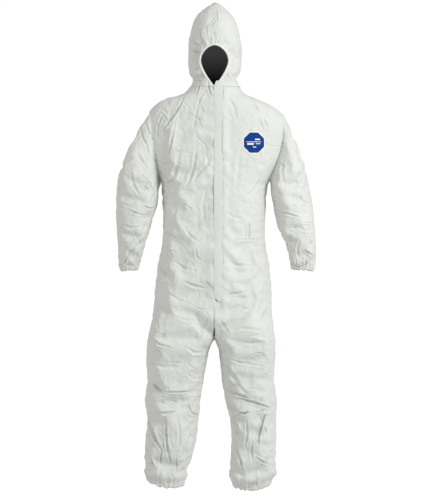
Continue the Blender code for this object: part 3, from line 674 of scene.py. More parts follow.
SLEEVE_LOOSE_FOLDS = {
    1: small_folds(21, 60, (215, -650), (370, -130), -40),
    -1: small_folds(22, 70, (-365, -650), (-215, -130), -120),
}
HOOD_LOOSE_FOLDS = [
    *small_folds(31, 34, (-80, 30), (10, 250), 75, long=(12, 36), deep=(0.7, 1.6)),
    *small_folds(32, 14, (20, 30), (85, 250), 100, long=(12, 30), deep=(0.5, 1.0)),
]
print("folds drawn one by one:", len(HOOD_FOLDS) + len(BODY_FOLDS) + len(BACK_FOLDS))

# %% [markdown]
# ## Body and legs
# The real body is cut as a front and a back for each side, each running from the shoulder down one leg.
# They meet at the sides, along the centre front and back, and on the inside of the legs. Four cloths could
# be sewn together in the simulation. One cloth holds all four here, because buckles then run on across the
# seams, and it is taken apart into panels afterwards.

# %% Body cloth
PANEL_SIDES = {"front_left": 1, "back_left": 1, "front_right": -1, "back_right": -1}  # in order of slot
COARSE = 0.012
SHOULDER_Z = -0.13


def rows_between(low, high, size):
    return list(np.linspace(low, high, max(2, round((high - low) / size)) + 1))[:-1]


def make_body():
    rows = rows_between(ANKLE_Z, CROTCH_Z, COARSE)
    bend = [CROTCH_Z + (HIP_Z - CROTCH_Z) * (1 - math.cos(a)) for a in np.linspace(0, PI / 2, 9)]
    rows += bend[:-1]
    rows += rows_between(HIP_Z, ZIP_END_Z, COARSE)
    rows += rows_between(ZIP_END_Z + 0.001, SHOULDER_Z, COARSE)
    rows += rows_between(SHOULDER_Z, NECK_Z, COARSE * 0.6) + [NECK_Z]
    across = 58
    shape = bmesh.new()
    for side in SIDES:
        slot = 0 if side > 0 else 2
        add_grid(
            shape,
            across,
            len(rows) - 1,
            lambda i, j: half_body(side, i / across, rows[j]),
            lambda u, v: slot + (u > 0.5),
        )
    bmesh.ops.remove_doubles(shape, verts=shape.verts[:], dist=0.0004)
    bmesh.ops.recalc_face_normals(shape, faces=shape.faces[:])
    made = new_object("body_cloth", shape)
    for name in PANEL_SIDES:
        made.data.materials.append(bpy.data.materials.new(name))
    return made


def body_pins(obj):
    """Firm along the zip, the neckline, the ankles and the armholes, and loose between.

    The wearer's left chest, the sides and the shoulders are firmer than the rest, so they stay smoother.
    """
    co = points_of(obj)
    x, y, z = co.T
    loose = 0.13 + 0.06 * ramp(x, -0.1, 0.12) + 0.30 * ramp(np.abs(normals_of(obj)[:, 0]), 0.55, 0.95)
    loose += 0.5 * ramp(z, -0.17, -0.07)
    loose += 0.28 * ramp(x, 0.0, 0.07) * ramp(z, -0.60, -0.40) * (y < 0.02)
    loose += 0.3 * near_line(z, CROTCH_Z, 0.06) * near_line(x, 0.0, 0.05)
    firm = near_line(x, ZIP_X, 0.030) * (z > ZIP_END_Z - 0.02) * (y < 0) * 0.9
    neck = ramp(z, -0.07, -0.02)
    ankle = 1 - ramp(z, ANKLE_Z, ANKLE_Z + 0.03)
    armhole = ramp(np.abs(x), 0.17, 0.235) * ramp(z, -0.40, -0.34)
    return np.clip(loose + np.maximum.reduce([firm, neck, ankle, armhole]), 0, 1)


body = make_body()
drape(body, body_pins(body), grow=0.042, frames=22)
refine(body, 2)
print("body cloth:", len(body.data.polygons), "faces")

# %% Body folds
ANKLE_LIFT = {1: (0.012, 0.020), -1: (0.036, 0.016)}  # at the right and the left end of each ankle
ANKLE_SAG = 0.018
ANKLE_ZONE = 0.12


def gather(obj, centre, side, edge, reach, count, depth, seed):
    """Puckers that start at an elastic edge and die out away from it, round a centre in plan."""
    co, out = points_of(obj), normals_of(obj)
    move = np.zeros(len(co))
    near = np.nonzero((np.abs(co[:, 2] - edge) < 1.9 * reach) & (co[:, 0] * side > 0))[0]
    for index in near:
        x, y, z = co[index]
        turn = math.atan2(x - centre[0], centre[1] - y)
        uneven = noise.noise((math.cos(turn) * 1.7 + seed, math.sin(turn) * 1.7, 0.0))
        fade = max(0.0, 1 - abs(z - edge) / (reach * (1 + 0.9 * uneven)))
        wave = math.sin(count * (turn + 0.22 * uneven) + 2.5 * uneven)
        move[index] = depth * fade**1.3 * (wave - 0.25)
    set_points(obj, co + out * move[:, None])


def ankle_shift(side, x):
    """How much the ankle's edge is lifted at a place: the elastic sits askew, and lower at front and back."""
    x0, x1 = leg_at[side](ANKLE_Z)[:2]
    across = clamp((2 * x - x0 - x1) / (x1 - x0), -1.0)
    right, left = ANKLE_LIFT[side]
    return right + (left - right) * (across + 1) / 2 - ANKLE_SAG * (1 - across * across)


def set_ankles(obj):
    """Lifts the leg ends to the askew elastic, and lets the fabric bag just above it."""
    co, out = points_of(obj), normals_of(obj)
    for index in np.nonzero(co[:, 2] < ANKLE_Z + ANKLE_ZONE)[0]:
        x, _, z = co[index]
        side = 1 if x > 0 else -1
        near = 1 - (z - ANKLE_Z) / ANKLE_ZONE
        bag = 0.007 * math.exp(-(((z - ANKLE_Z - 0.026) / 0.016) ** 2))
        co[index] += out[index] * bag
        co[index, 2] += ankle_shift(side, x) * near
    set_points(obj, co)


def placket(obj):
    """The fabric rises to meet the flap where it is sewn on, and a little beside its free edge."""
    co = points_of(obj)
    x, y, z = co.T
    here = (y < -0.03) * ramp(z, -0.83, -0.80) * (1 - ramp(z, -0.03, -0.015))
    sewn = ramp(x, 0.024, 0.0285) * (1 - ramp(x, 0.034, 0.064))
    free = ramp(x, -0.036, -0.009) * (1 - ramp(x, 0.001, 0.004))
    co[:, 1] -= here * (0.0053 * sewn + 0.0038 * free)
    set_points(obj, co)


LOW_FOLDS = [fold for fold in BODY_FOLDS if fold[2][1] < -1100]  # from the knees down they are deepest
press(body, BODY_FOLDS + LOOSE_FOLDS)
press(body, LOW_FOLDS, strength=0.5 * FOLD_STRENGTH)
press(body, BACK_FOLDS + BACK_LOOSE_FOLDS, facing=1)
for side in SIDES:
    x0, x1, front, back = leg_at[side](ANKLE_Z)
    gather(body, ((x0 + x1) / 2, (front + back) / 2), side, ANKLE_Z, 0.045, 30, 0.0032, 3.0 + side)
# The facets are weaker on the wearer's left above the knees, and beside the flap.
x, _, z = points_of(body).T
busy = 1 - 0.70 * ramp(x, -0.06, 0.10) * ramp(z, -1.0, -0.7)
busy *= 1 - 0.8 * near_line(x, 0.012, 0.034) * (z > ZIP_END_Z)
sway(body, 0.12, 0.003, 3.1, (1, 1, 1.4))
crumple(body, 0.055, 0.0036, 11.0, (1, 1, 1.6), busy)
crumple(body, 0.024, 0.0026, 5.0, (1, 1, 1.4), busy)
placket(body)
set_ankles(body)
print("loose body folds:", len(LOOSE_FOLDS) + len(BACK_LOOSE_FOLDS))

# %% [markdown]
# ## Panels
# The draped cloth is taken apart into its four panels by their slots. Each panel runs over the hip joint.
# The faces inside the armholes are left out.

# %% Panels


def take_faces(obj, name, slot, skip=None):
    """A copy of the faces with this material slot, leaving out those that skip(x, y, z) marks."""
    shape = bmesh.new()
    shape.from_mesh(obj.data)
    gone = [f for f in shape.faces if f.material_index != slot or (skip and skip(*f.calc_center_median()))]
    bmesh.ops.delete(shape, geom=gone, context="FACES")
    for face in shape.faces:
        face.material_index = 0
        face.smooth = True
    return new_object(name, shape)


def border_line(obj, slots):
    """The points along the border between two slots, in order, with the bulge direction at each."""
    shape = bmesh.new()
    shape.from_mesh(obj.data)
    edges = [e for e in shape.edges if {f.material_index for f in e.link_faces} == set(slots)]
    links = {}
    for edge in edges:
        for vert in edge.verts:
            links.setdefault(vert, []).append(edge)
    lines, used = [], set()
    starts = [v for v, found in links.items() if len(found) == 1] + list(links)
    for start in starts:
        line, vert = [start], start
        while True:
            step = next((e for e in links[vert] if e not in used), None)
            if step is None:
                break
            used.add(step)
            vert = step.other_vert(vert)
            line.append(vert)
        if len(line) > 6:
            lines.append([(v.co.copy(), v.normal.copy()) for v in line])
    shape.free()
    return lines


# x and z of the armpit, x and z of the shoulder, and how far the line between them bows outwards
ARMHOLE = {1: ((0.203, -0.352), (0.252, -0.106), 0.021), -1: ((-0.199, -0.372), (-0.236, -0.104), 0.006)}


def armhole_curve(side, share):
    """x and z of the armhole's line in the front view, from the armpit (0) to the shoulder (1)."""
    (x0, z0), (x1, z1), bow = ARMHOLE[side]
    along = Vector((x1 - x0, z1 - z0))
    out = Vector((-along.y, along.x)).normalized() * -side
    place = Vector((x0, z0)) + along * share + out * bow * math.sin(PI * share)
    return place.x, place.y


def armhole_x(side, z):
    (_, z0), (_, z1), _ = ARMHOLE[side]
    share = (z - z0) / (z1 - z0)
    return armhole_curve(side, clamp(share))[0]


def in_armhole(side, x, z):
    low, high = ARMHOLE[side][0][1], ARMHOLE[side][1][1]
    return low + 0.015 < z < high + 0.004 and side * (x - armhole_x(side, z)) > 0.006


def hip_blend(obj, side):
    """Fabric over the hip joint. It only bakes the piece's transform into its mesh."""
    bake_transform(obj)


PANELS = {}
for slot, (name, side) in enumerate(PANEL_SIDES.items()):
    PANELS[name] = take_faces(body, f"{name}_cloth", slot, lambda x, y, z: in_armhole(side, x, z))
    print(name, len(PANELS[name].data.polygons), "faces")
SEAM_LINES = {
    "left_side_seam": border_line(body, (0, 1)),
    "right_side_seam": border_line(body, (2, 3)),
    "centre_front_seam": border_line(body, (0, 2)),
    "centre_back_seam": border_line(body, (1, 3)),
}
for name, lines in SEAM_LINES.items():
    print(name, [len(line) for line in lines])

# %% [markdown]
# ## Sleeves
# A sleeve is one piece, closed by a seam under the arm and set into the armhole. The arm hangs, so its
# head is pulled over the shoulder and its underside is pressed into diagonal folds. It could be draped over a
# model of an arm. It is a tube of slanted rings instead, whose first rings melt into the armhole's loop, so
# that its edge meets the body's everywhere.

# %% Sleeves
SLEEVE_ROWS = {1: LEFT_SLEEVE, -1: RIGHT_SLEEVE}
SLEEVE_HEAD = 0.22  # the share of a sleeve's length that melts into the armhole


def sleeve_rings(side):
    """The sleeve's ring at a share of its length, from the shoulder (0) to the wrist (1)."""
    rows = np.array(SLEEVE_ROWS[side])
    middles = (rows[:, [0, 1]] + rows[:, [2, 3]]) / 2
    run = np.concatenate([[0], np.cumsum(np.linalg.norm(np.diff(middles, axis=0), axis=1))])
    table = np.column_stack([run / run[-1], rows])
    return smooth_rows(table, spread=0.05, step=0.005)


def slanted_point(ring, turn):
    """A point on a ring whose inner and outer ends are at different heights."""
    x0, z0, x1, z1, front, back = ring
    across = shaped(math.sin(turn))
    y = (front + back) / 2 - (back - front) / 2 * shaped(math.cos(turn))
    return Vector(((x0 + x1) / 2 + across * (x1 - x0) / 2, y, (z0 + z1) / 2 + across * (z1 - z0) / 2))


def armhole_point(side, turn):
    """A point on the armhole's loop, which lies on the body."""
    x, z = armhole_curve(side, (1 + shaped(math.sin(turn))) / 2)
    ring = body_at(z)
    place = abs(turn_for(ring, x))
    deep = (ring[3] - ring[2]) / 2 * shaped(math.cos(place))
    front = math.copysign(1, math.cos(turn))
    soft = min(1.0, abs(math.cos(turn)) * 4)
    return Vector((x, (ring[2] + ring[3]) / 2 - front * deep * soft, z))


def make_sleeve(side):
    rings = sleeve_rings(side)
    around, along = ((40, 48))

    def place(i, j):
        share, turn = 1 - j / along, 2 * PI * i / around
        point = slanted_point(rings(share), turn)
        if share < SLEEVE_HEAD:
            near = 1 - share / SLEEVE_HEAD
            point = point.lerp(armhole_point(side, turn), eased(near))
        return point

    shape = bmesh.new()
    add_grid(shape, around, along, place)
    bmesh.ops.remove_doubles(shape, verts=shape.verts[:], dist=0.0001)
    bmesh.ops.recalc_face_normals(shape, faces=shape.faces[:])
    made = new_object(f"{SIDES[side]}_sleeve_cloth", shape)
    co = points_of(made)
    down = -co[:, 2] + 0.35 * np.abs(co[:, 0])  # runs down the arm, and is even round the wrist
    wrist = ramp(down, down.max() - 0.03, down.max() - 0.005)
    reach = np.array([min(1.0, side * (x - armhole_x(side, z)) / 0.03) for x, _, z in co])
    sides = 0.25 * ramp(np.abs(normals_of(made)[:, 0]), 0.6, 0.95)
    pins = np.clip(0.12 + sides + wrist + (1 - np.clip(reach, 0, 1)), 0, 1)
    drape(made, pins, grow=0.052, frames=20)
    refine(made, 2)
    return made


SLEEVES = {side: make_sleeve(side) for side in SIDES}
for side, sleeve in SLEEVES.items():
    folds = LEFT_SLEEVE_FOLDS if side > 0 else RIGHT_SLEEVE_FOLDS
    press(sleeve, folds + SLEEVE_LOOSE_FOLDS[side])
    press(sleeve, SLEEVE_LOOSE_FOLDS[side], facing=1)
    x0, z0, x1, z1, front, back = SLEEVE_ROWS[side][-1]
    gather(sleeve, ((x0 + x1) / 2, (front + back) / 2), side, z0, 0.035, 24, 0.0026, 5.0 + side)
    co = points_of(sleeve)
    edge = np.array([side * (x - armhole_x(side, z)) for x, _, z in co])
    inner = ramp(edge, 0.004, 0.03)
    sway(sleeve, 0.10, 0.003, 7.0 + side, (1, 1, 1.4), inner)
    crumple(sleeve, 0.048, 0.0036, 2.0 + side, (1, 1, 1.5), inner)
    crumple(sleeve, 0.021, 0.0024, 9.0 + side, (1, 1, 1.3), inner)
    for face in sleeve.data.polygons:
        face.use_smooth = True
    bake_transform(sleeve)
    print(sleeve.name, len(sleeve.data.polygons), "faces")

# %% [markdown]
# ## Hood
# The hood is cut as two halves with a seam over the top to the back of the neck. Elastic in the hem of the
# face opening gathers its edge, which throws short pleats outwards from the opening. A cloth with the opening
# already in it curls at the edge, so the whole hood is draped, and the opening is cut out of it afterwards.

# %% Face opening
FACE_HALF = 0.050
FACE_LOW_Z = -0.011
FACE_WIDE_Z = 0.081
FACE_TOP_Z = 0.1385
OUTLINE_STEPS = 720


def opening_half(z):
    """Half the width of the face opening at a height: pointed at the chin, egg-shaped above."""
    if not FACE_LOW_Z < z < FACE_TOP_Z:
        return 0.0
    if z > FACE_WIDE_Z:
        up = (z - FACE_WIDE_Z) / (FACE_TOP_Z - FACE_WIDE_Z)
        return FACE_HALF * (1 - up * up) ** 0.6
    return FACE_HALF * (1 - ((FACE_WIDE_Z - z) / (FACE_WIDE_Z - FACE_LOW_Z)) ** 1.5)


def opening_outline(steps):
    """The face opening's outline in the front view, evenly spaced."""
    raw = []
    for step in range(OUTLINE_STEPS):
        turn = 2 * PI * (step + 0.5) / OUTLINE_STEPS
        rise = math.cos(turn)
        z = FACE_WIDE_Z + rise * ((FACE_TOP_Z - FACE_WIDE_Z) if rise > 0 else (FACE_WIDE_Z - FACE_LOW_Z))
        raw.append((math.copysign(opening_half(z), math.sin(turn)), z))
    raw = np.array(raw + raw[:1])
    run = np.concatenate([[0], np.cumsum(np.linalg.norm(np.diff(raw, axis=0), axis=1))])
    even = np.linspace(0, run[-1], steps, endpoint=False)
    return np.column_stack([np.interp(even, run, raw[:, 0]), np.interp(even, run, raw[:, 1])])


OUTLINE = opening_outline(240)


def from_opening(x, z):
    """Distance from the opening's outline in the front view, below 0 inside, and the nearest point on it."""
    gaps = np.hypot(OUTLINE[:, 0] - x, OUTLINE[:, 1] - z)
    best = int(gaps.argmin())
    inside = abs(x) < opening_half(z)
    return (-gaps[best] if inside else gaps[best]), OUTLINE[best]


print("face opening:", len(OUTLINE), "points")

# %% Hood cloth
CROWN_Z = 0.292  # the hood's last ring, which a small cap closes
CAP_FROM = Vector((0.0035, 0.004, 0.29))
CAP_TO = Vector((0.0035, 0.004, 0.2995))


def make_hood():
    heights = list(np.linspace(NECK_Z, CROWN_Z, 34))
    around = 64
    shape = bmesh.new()

    def place(i, j):
        z = heights[j]
        return Vector((*on_ring(hood_at(z), 2 * PI * i / around), z))

    add_grid(shape, around, len(heights) - 1, place, lambda u, v: int(u > 0.5))
    bmesh.ops.remove_doubles(shape, verts=shape.verts[:], dist=0.0001)
    shape.verts.ensure_lookup_table()
    top = [v for v in shape.verts if v.co.z > CROWN_Z - 0.0001]
    rim = list({e for v in top for e in v.link_edges if all(w in top for w in e.verts)})
    cap = bmesh.ops.extrude_edge_only(shape, edges=rim)["geom"]
    peak = [item for item in cap if isinstance(item, bmesh.types.BMVert)]
    for vert in peak:
        vert.co = CAP_TO + (vert.co - CAP_FROM) * 0.08
    bmesh.ops.remove_doubles(shape, verts=peak, dist=0.004)
    bmesh.ops.recalc_face_normals(shape, faces=shape.faces[:])
    made = new_object("hood_cloth", shape)
    made.data.materials.append(bpy.data.materials.new("left"))
    made.data.materials.append(bpy.data.materials.new("right"))
    pins = []
    for x, y, z in points_of(made):
        gap = from_opening(x, z)[0] if y < 0 else 1.0
        rim = 1 - float(ramp(gap, 0.004, 0.022))
        neck = 1 - float(ramp(z, NECK_Z, 0.02))
        pins.append(min(1.0, 0.10 + rim + neck))
    drape(made, pins, grow=0.035, frames=14)
    return refine(made, 2)


hood = make_hood()

# %% Hood folds
PLEATS = 30
PLEAT_ZONE = 0.06
BUSY_SIDE = 0.012  # the pleats to the wearer's right of this x are longer and deeper
HEM_UNDER = 0.0035  # how far the hood's edge stays back under the hem


def pleat_hood(obj):
    """Radial pleats round the face opening, stronger on the wearer's right."""
    co, out = points_of(obj), normals_of(obj)
    move = np.zeros(len(co))
    for index, (x, y, z) in enumerate(co):
        if y > 0.02:
            continue
        gap = from_opening(x, z)[0]
        if gap < 0 or gap > PLEAT_ZONE:
            continue
        turn = math.atan2(x, z - 0.075)
        uneven = noise.noise((math.cos(turn) * 2.3, math.sin(turn) * 2.3, 4.0))
        reach = 0.036 + 0.028 * uneven + (0.014 if x < BUSY_SIDE else 0.0)
        fade = max(0.0, 1 - gap / reach) * min(1.0, gap / 0.006)
        wave = math.sin(PLEATS * (turn + 0.16 * uneven) + 4 * uneven)
        move[index] = (0.0036 if x < BUSY_SIDE else 0.0014) * fade * wave
    set_points(obj, co + out * move[:, None])


pleat_hood(hood)
press(hood, HOOD_FOLDS + HOOD_LOOSE_FOLDS)
press(hood, HOOD_LOOSE_FOLDS, facing=1)
calm = 0.35 + 0.65 * (1 - ramp(points_of(hood)[:, 0], -0.01, 0.03))
sway(hood, 0.05, 0.004, 1.5)
crumple(hood, 0.040, 0.0046, 21.0, (1, 1, 1.4), calm)
crumple(hood, 0.018, 0.0020, 31.0, (1, 1, 1.3), calm)


def cut_opening(obj):
    """Removes the face opening and moves the cut's edge onto its outline."""
    shape = bmesh.new()
    shape.from_mesh(obj.data)
    gone = []
    for face in shape.faces:
        x, y, z = face.calc_center_median()
        if y < 0 and from_opening(x, z)[0] < 0.0022:
            gone.append(face)
    bmesh.ops.delete(shape, geom=gone, context="FACES")
    for vert in shape.verts:
        if vert.is_boundary and vert.co.y < -0.02 and vert.co.z > FACE_LOW_Z - 0.01:
            gap, near = from_opening(vert.co.x, vert.co.z)
            if abs(gap - HEM_UNDER) < 0.006:
                away = Vector((vert.co.x - near[0], vert.co.z - near[1]))
                if away.length > 0.0005:
                    away *= HEM_UNDER / away.length
                    vert.co.x, vert.co.z = near[0] + away.x, near[1] + away.y
    shape.to_mesh(obj.data)
    shape.free()
    obj.data.update()


cut_opening(hood)
print("hood:", len(hood.data.polygons), "faces")
HOOD_PIECES = {}
for slot, name in enumerate(("hood_left_cloth", "hood_right_cloth")):
    HOOD_PIECES[name] = take_faces(hood, name, slot)
SEAM_LINES["hood_seam"] = border_line(hood, (0, 1))


def hood_blend(obj):
    """Fabric over the neck joint, from the neck seam to above the chin. It only bakes the piece's transform
    into its mesh.
    """
    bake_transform(obj)


for piece in HOOD_PIECES.values():
    hood_blend(piece)

# %% [markdown]
# ## Elastic hems
# The face, wrists and ankles end in a narrow casing, which is the fabric turned in round an elastic band.
# The band is shorter than the casing, so the casing puckers all the way round. A plain tube round the edge
# would look like a hose. So the casing's section is swept round the edge, and each point is moved by a wave
# that is strongest where the fabric is free.

# %% Wrist and ankle hems
CUFF_STEPS = 180


def sweep(name, loops):
    """A skin over rows of points, closed round each row and from the last row to the first."""
    steps, rows = len(loops[0]), len(loops)
    return tube_object(name, steps, rows, lambda i, j: loops[j % rows][i % steps])


def cuff_loops(point, profile, seed, count, depth):
    """Rows of points for a casing, with count puckers. point(turn, inset, down) is on the cuff."""
    loops = []
    for inset, down, free in profile:
        row = []
        for step in range(CUFF_STEPS):
            turn = 2 * PI * step / CUFF_STEPS
            uneven = noise.noise((math.cos(turn) * 2.1 + seed, math.sin(turn) * 2.1, 1.0))
            wave = math.sin(count * (turn + 0.12 * uneven) + 3 * uneven)
            lift = 0.0016 * free * math.sin(0.5 * count * turn + 5 * uneven)
            row.append(point(turn, inset - depth * free * wave, down + lift))
        loops.append(row)
    return loops


# Each row of a section: inset from the cuff's ring, distance down the limb, how freely it waves
CASING = [
    (0.0006, -0.004, 0.8),
    (-0.0002, 0.001, 0.9),
    (0.0010, 0.004, 1.0),
    (0.0010, 0.007, 1.0),
    (-0.0004, 0.010, 0.9),
    (0.0002, 0.0145, 1.3),
    (0.0016, 0.0165, 1.5),
    (0.0034, 0.0160, 1.3),
    (0.0050, 0.012, 0.6),
    (0.0056, 0.004, 0.5),
    (0.0046, -0.002, 0.6),
]
BAND = [(0.0026, 0.003, 0.8), (0.0026, 0.011, 0.8), (0.0042, 0.011, 0.8), (0.0042, 0.003, 0.8)]


def slanted_cuff(ring):
    """Returns point(turn, inset, down) on a limb's last ring, which narrows a little towards its edge."""

    def point(turn, inset, down):
        x0, z0, x1, z1, front, back = ring
        half = math.hypot(x1 - x0, z1 - z0) / 2
        ux, uz = (x1 - x0) / 2 / half, (z1 - z0) / 2 / half
        inset += 0.006 * max(0.0, down / 0.0165) ** 2
        across = shaped(math.sin(turn)) * (half - inset)
        y = (front + back) / 2 - ((back - front) / 2 - inset) * shaped(math.cos(turn))
        down *= 1 if ux > 0 else -1
        return Vector(((x0 + x1) / 2 + across * ux + down * uz, y, (z0 + z1) / 2 + across * uz - down * ux))

    return point


def ankle_cuff(side):
    """The same for a leg, with the elastic's askew edge."""
    x0, x1, front, back = leg_at[side](ANKLE_Z)
    level = slanted_cuff((x0, ANKLE_Z, x1, ANKLE_Z, front, back))

    def point(turn, inset, down):
        place = level(turn, inset, down)
        place.z += ankle_shift(side, place.x)
        return place

    return point


CUFFS = {}
for side, side_name in SIDES.items():
    rings = {
        "wrist": (slanted_cuff(SLEEVE_ROWS[side][-1]), f"{side_name}_sleeve", 22, 0.0018),
        "ankle": (ankle_cuff(side), f"{side_name}_leg", 30, 0.0024),
    }
    for place, (point, ride_on, count, depth) in rings.items():
        hem = sweep(f"{side_name}_{place}_casing", cuff_loops(point, CASING, side + count, count, depth))
        band = sweep(f"{side_name}_{place}_band", cuff_loops(point, BAND, side + count, count, 0.0004))
        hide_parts(f"{side_name}_{place}_hem")
        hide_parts(f"{side_name}_{place}_elastic")
        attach(hem, ride_on)
        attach(band, ride_on)
        CUFFS[f"{side_name}_{place}"] = [hem, band]
print("cuffs:", ", ".join(CUFFS))

# %% Face hem
FACE_STEPS = 300
FACE_PUCKERS = 44
FACE_CENTRE = Vector((0, 0.072))


def hood_y(x, z):
    """y of the hood's front before its folds."""
    ring = hood_at(max(NECK_Z, z))
    return on_ring(ring, turn_for(ring, x))[1]


def face_loops(profile, depth):
    """Rows of points round the face opening. The profile lists distance outwards, depth and freedom."""
    outline = opening_outline(FACE_STEPS)
    loops = []
    for out, deep, free in profile:
        row = []
        for step, (x, z) in enumerate(outline):
            away = (Vector((x, z)) - FACE_CENTRE).normalized()
            turn = 2 * PI * step / FACE_STEPS
            uneven = noise.noise((math.cos(turn) * 2.4, math.sin(turn) * 2.4, 8.0))
            wave = math.sin(FACE_PUCKERS * (turn + 0.10 * uneven) + 3 * uneven)
            reach = out + 0.0005 * free * wave
            y = hood_y(x * 1.1, z) + deep + depth * free * wave
            row.append(Vector((x + away.x * reach, y, z + away.y * reach)))
        loops.append(row)
    return loops


FACE_CASING = [
    (0.0086, 0.0006, 0.2),
    (0.0080, -0.0012, 0.6),
    (0.0058, -0.0026, 1.0),
    (0.0028, -0.0028, 1.0),
    (0.0006, -0.0012, 0.9),
    (-0.0002, 0.0014, 0.8),
    (0.0004, 0.0042, 0.6),
    (0.0026, 0.0058, 0.4),
    (0.0066, 0.0058, 0.2),
    (0.0086, 0.0040, 0.2),
]
FACE_BAND = [(0.0020, 0.0012, 0.1), (0.0056, 0.0012, 0.1), (0.0056, 0.0040, 0.1), (0.0020, 0.0040, 0.1)]
face_casing = sweep("face_casing", face_loops(FACE_CASING, 0.0007))
face_band = sweep("face_band", face_loops(FACE_BAND, 0.0003))
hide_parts("face_hem")
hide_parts("face_elastic")
for piece in (face_casing, face_band):
    hood_blend(piece)
print("face casing:", len(face_casing.data.polygons), "faces")

# %% [markdown]
# ## Seams
# The panels are joined by narrow overlocked seams. From outside each shows as a fine ridge that swells
# between its stitches. Single stitches along so many metres of seam would be heavy and can't be seen, so each
# seam is one thin cord, laid on the line where the draped panels meet.

# %% Seam helpers
SEAM_SIDES = 6
SEAM_STEP = 0.0018
STITCH_PITCH = 0.005


def seam_cord(name, line, radius):
    """A flattened ridge along a line of points and their outward directions."""
    run = np.concatenate([[0], np.cumsum([(b[0] - a[0]).length for a, b in zip(line, line[1:])])])
    count = max(8, int(run[-1] / SEAM_STEP))
    even = np.linspace(0, run[-1], count)
    place = np.column_stack([np.interp(even, run, [p[0][k] for p in line]) for k in range(3)])
    out = np.column_stack([np.interp(even, run, [p[1][k] for p in line]) for k in range(3)])
    way = np.gradient(place, axis=0)

    def point(i, j):
        up = Vector(out[j]).normalized()
        ahead = Vector(way[j]).normalized()
        across = ahead.cross(up).normalized()
        turn = 2 * PI * (i % SEAM_SIDES) / SEAM_SIDES
        swell = radius * (0.85 + 0.15 * math.cos(2 * PI * even[j] / STITCH_PITCH))
        end = min(1.0, (min(j, count - 1 - j) + 0.3) / 2)
        offset = across * math.cos(turn) * swell * 1.5 + up * math.sin(turn) * swell * 0.8
        return Vector(place[j]) + offset * end

    return tube_object(name, SEAM_SIDES, count - 1, point)


def joined(name, made):
    """Joins several meshes into one named object."""
    shape = bmesh.new()
    for piece in made:
        shape.from_mesh(piece.data)
        bpy.data.objects.remove(piece, do_unlink=True)
    return new_object(name, shape)


def seam_object(name, lines, radius=0.0009):
    """One object with a cord along each line that is long enough."""
    cords = [seam_cord(f"{name}_{i}", line, radius) for i, line in enumerate(lines) if len(line) > 3]
    return joined(name, cords)


# %% Seams
SEAMS = {}
for side, side_name in SIDES.items():
    armpit_z, shoulder_z = ARMHOLE[side][0][1], ARMHOLE[side][1][1]
    lines = []
    for line in SEAM_LINES[f"{side_name}_side_seam"]:
        for low, high in ((-math.inf, armpit_z), (shoulder_z - 0.004, math.inf)):
            lines.append([item for item in line if low <= item[0].z <= high])
    seam = seam_object(f"{side_name}_side_seam", lines)
    SEAMS[seam.name] = seam
    hip_blend(seam, side)
centre = seam_object("centre_front_seam", SEAM_LINES["centre_front_seam"])
back = seam_object("centre_back_seam", SEAM_LINES["centre_back_seam"])
for seam in (centre, back):
    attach(seam, "root")
    SEAMS[seam.name] = seam
hood_seam = seam_object("hood_seam", SEAM_LINES["hood_seam"])
hood_blend(hood_seam)
SEAMS["hood_seam"] = hood_seam
body_shape = bmesh.new()
body_shape.from_mesh(body.data)
BODY_TREE = bvhtree.BVHTree.FromBMesh(body_shape)
body_shape.free()
for side, side_name in SIDES.items():
    loop = []
    for step in range(121):
        point = armhole_point(side, 2 * PI * step / 120)
        near, normal, _, _ = BODY_TREE.find_nearest(point)
        loop.append((near.lerp(point, 0.5), normal))
    seam = seam_object(f"{side_name}_armhole_seam", [loop], 0.0012)
    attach(seam, "root")
    SEAMS[seam.name] = seam
neck_z = NECK_Z + 0.001
neck_line = []
for step in range(-56, 57):
    x, y = on_ring(hood_at(neck_z), PI + PI * step / 64)
    neck_line.append((Vector((x, y, neck_z)), Vector((x, y, 0)).normalized()))
neck_seam = seam_object("neck_seam", [neck_line], 0.0004)
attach(neck_seam, "root")
SEAMS["neck_seam"] = neck_seam
print("seams:", ", ".join(SEAMS))

# %% [markdown]
# ## Front closure
# The coil zip is two rows of plastic coils on woven tapes, with a slider and a pull. A fabric flap, sewn
# down on the wearer's left, lies over it. Its sewn side is stitched twice, and one row runs along its free
# edge. A coil could be a wire bent into a helix. Its turns are under the flap and a millimetre wide, so each
# is one tilted bar. The flap is a thin sheet with a little waviness, which Solidify gives its thickness.

# %% Zip coils
LEAN = 0.04375  # the closure comes forward this much for each metre down
COIL_PITCH = 0.0016
COIL_TILT = 0.18


def front_line(z):
    """y of the middle of the front, in front of the zip."""
    return -0.0895 + LEAN * z


def zip_coil(side):
    """A row of short tilted bars across the tape's edge, one for each turn of the coil."""
    node = f"zip_coil_{SIDES[side]}"
    low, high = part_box(node)
    shape = bmesh.new()
    for step in range(int((high.z - low.z) / COIL_PITCH)):
        z = low.z + (step + 0.5 + 0.25 * side) * COIL_PITCH
        place = Matrix.Translation(((low.x + high.x) / 2, front_line(z) + 0.005 + 0.0003, z))
        tilt = Matrix.Rotation(COIL_TILT * side, 4, "Y")
        size = Matrix.Diagonal((high.x - low.x, 0.0013, COIL_PITCH * 0.55, 1))
        bmesh.ops.create_cube(shape, size=1.0, matrix=place @ tilt @ size)
    made = new_object(f"{node}_loops", shape)
    edge = made.modifiers.new("edge", "BEVEL")
    edge.width = 0.0003
    edge.segments = 1
    bake_modifiers(made)
    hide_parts(node)
    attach(made, "root")
    return made


COILS = [zip_coil(1), zip_coil(-1)]
print("zip coils:", [len(coil.data.polygons) for coil in COILS])

# %% Storm flap
flap_low, flap_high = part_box("storm_flap")
FLAP_COLUMNS, FLAP_ROWS = 12, 140
FLAP_ROUND = 0.034  # length of the rounded lower end
FLAP_CORNER = 0.0085, 0.018  # width and length that are cut off its top corner


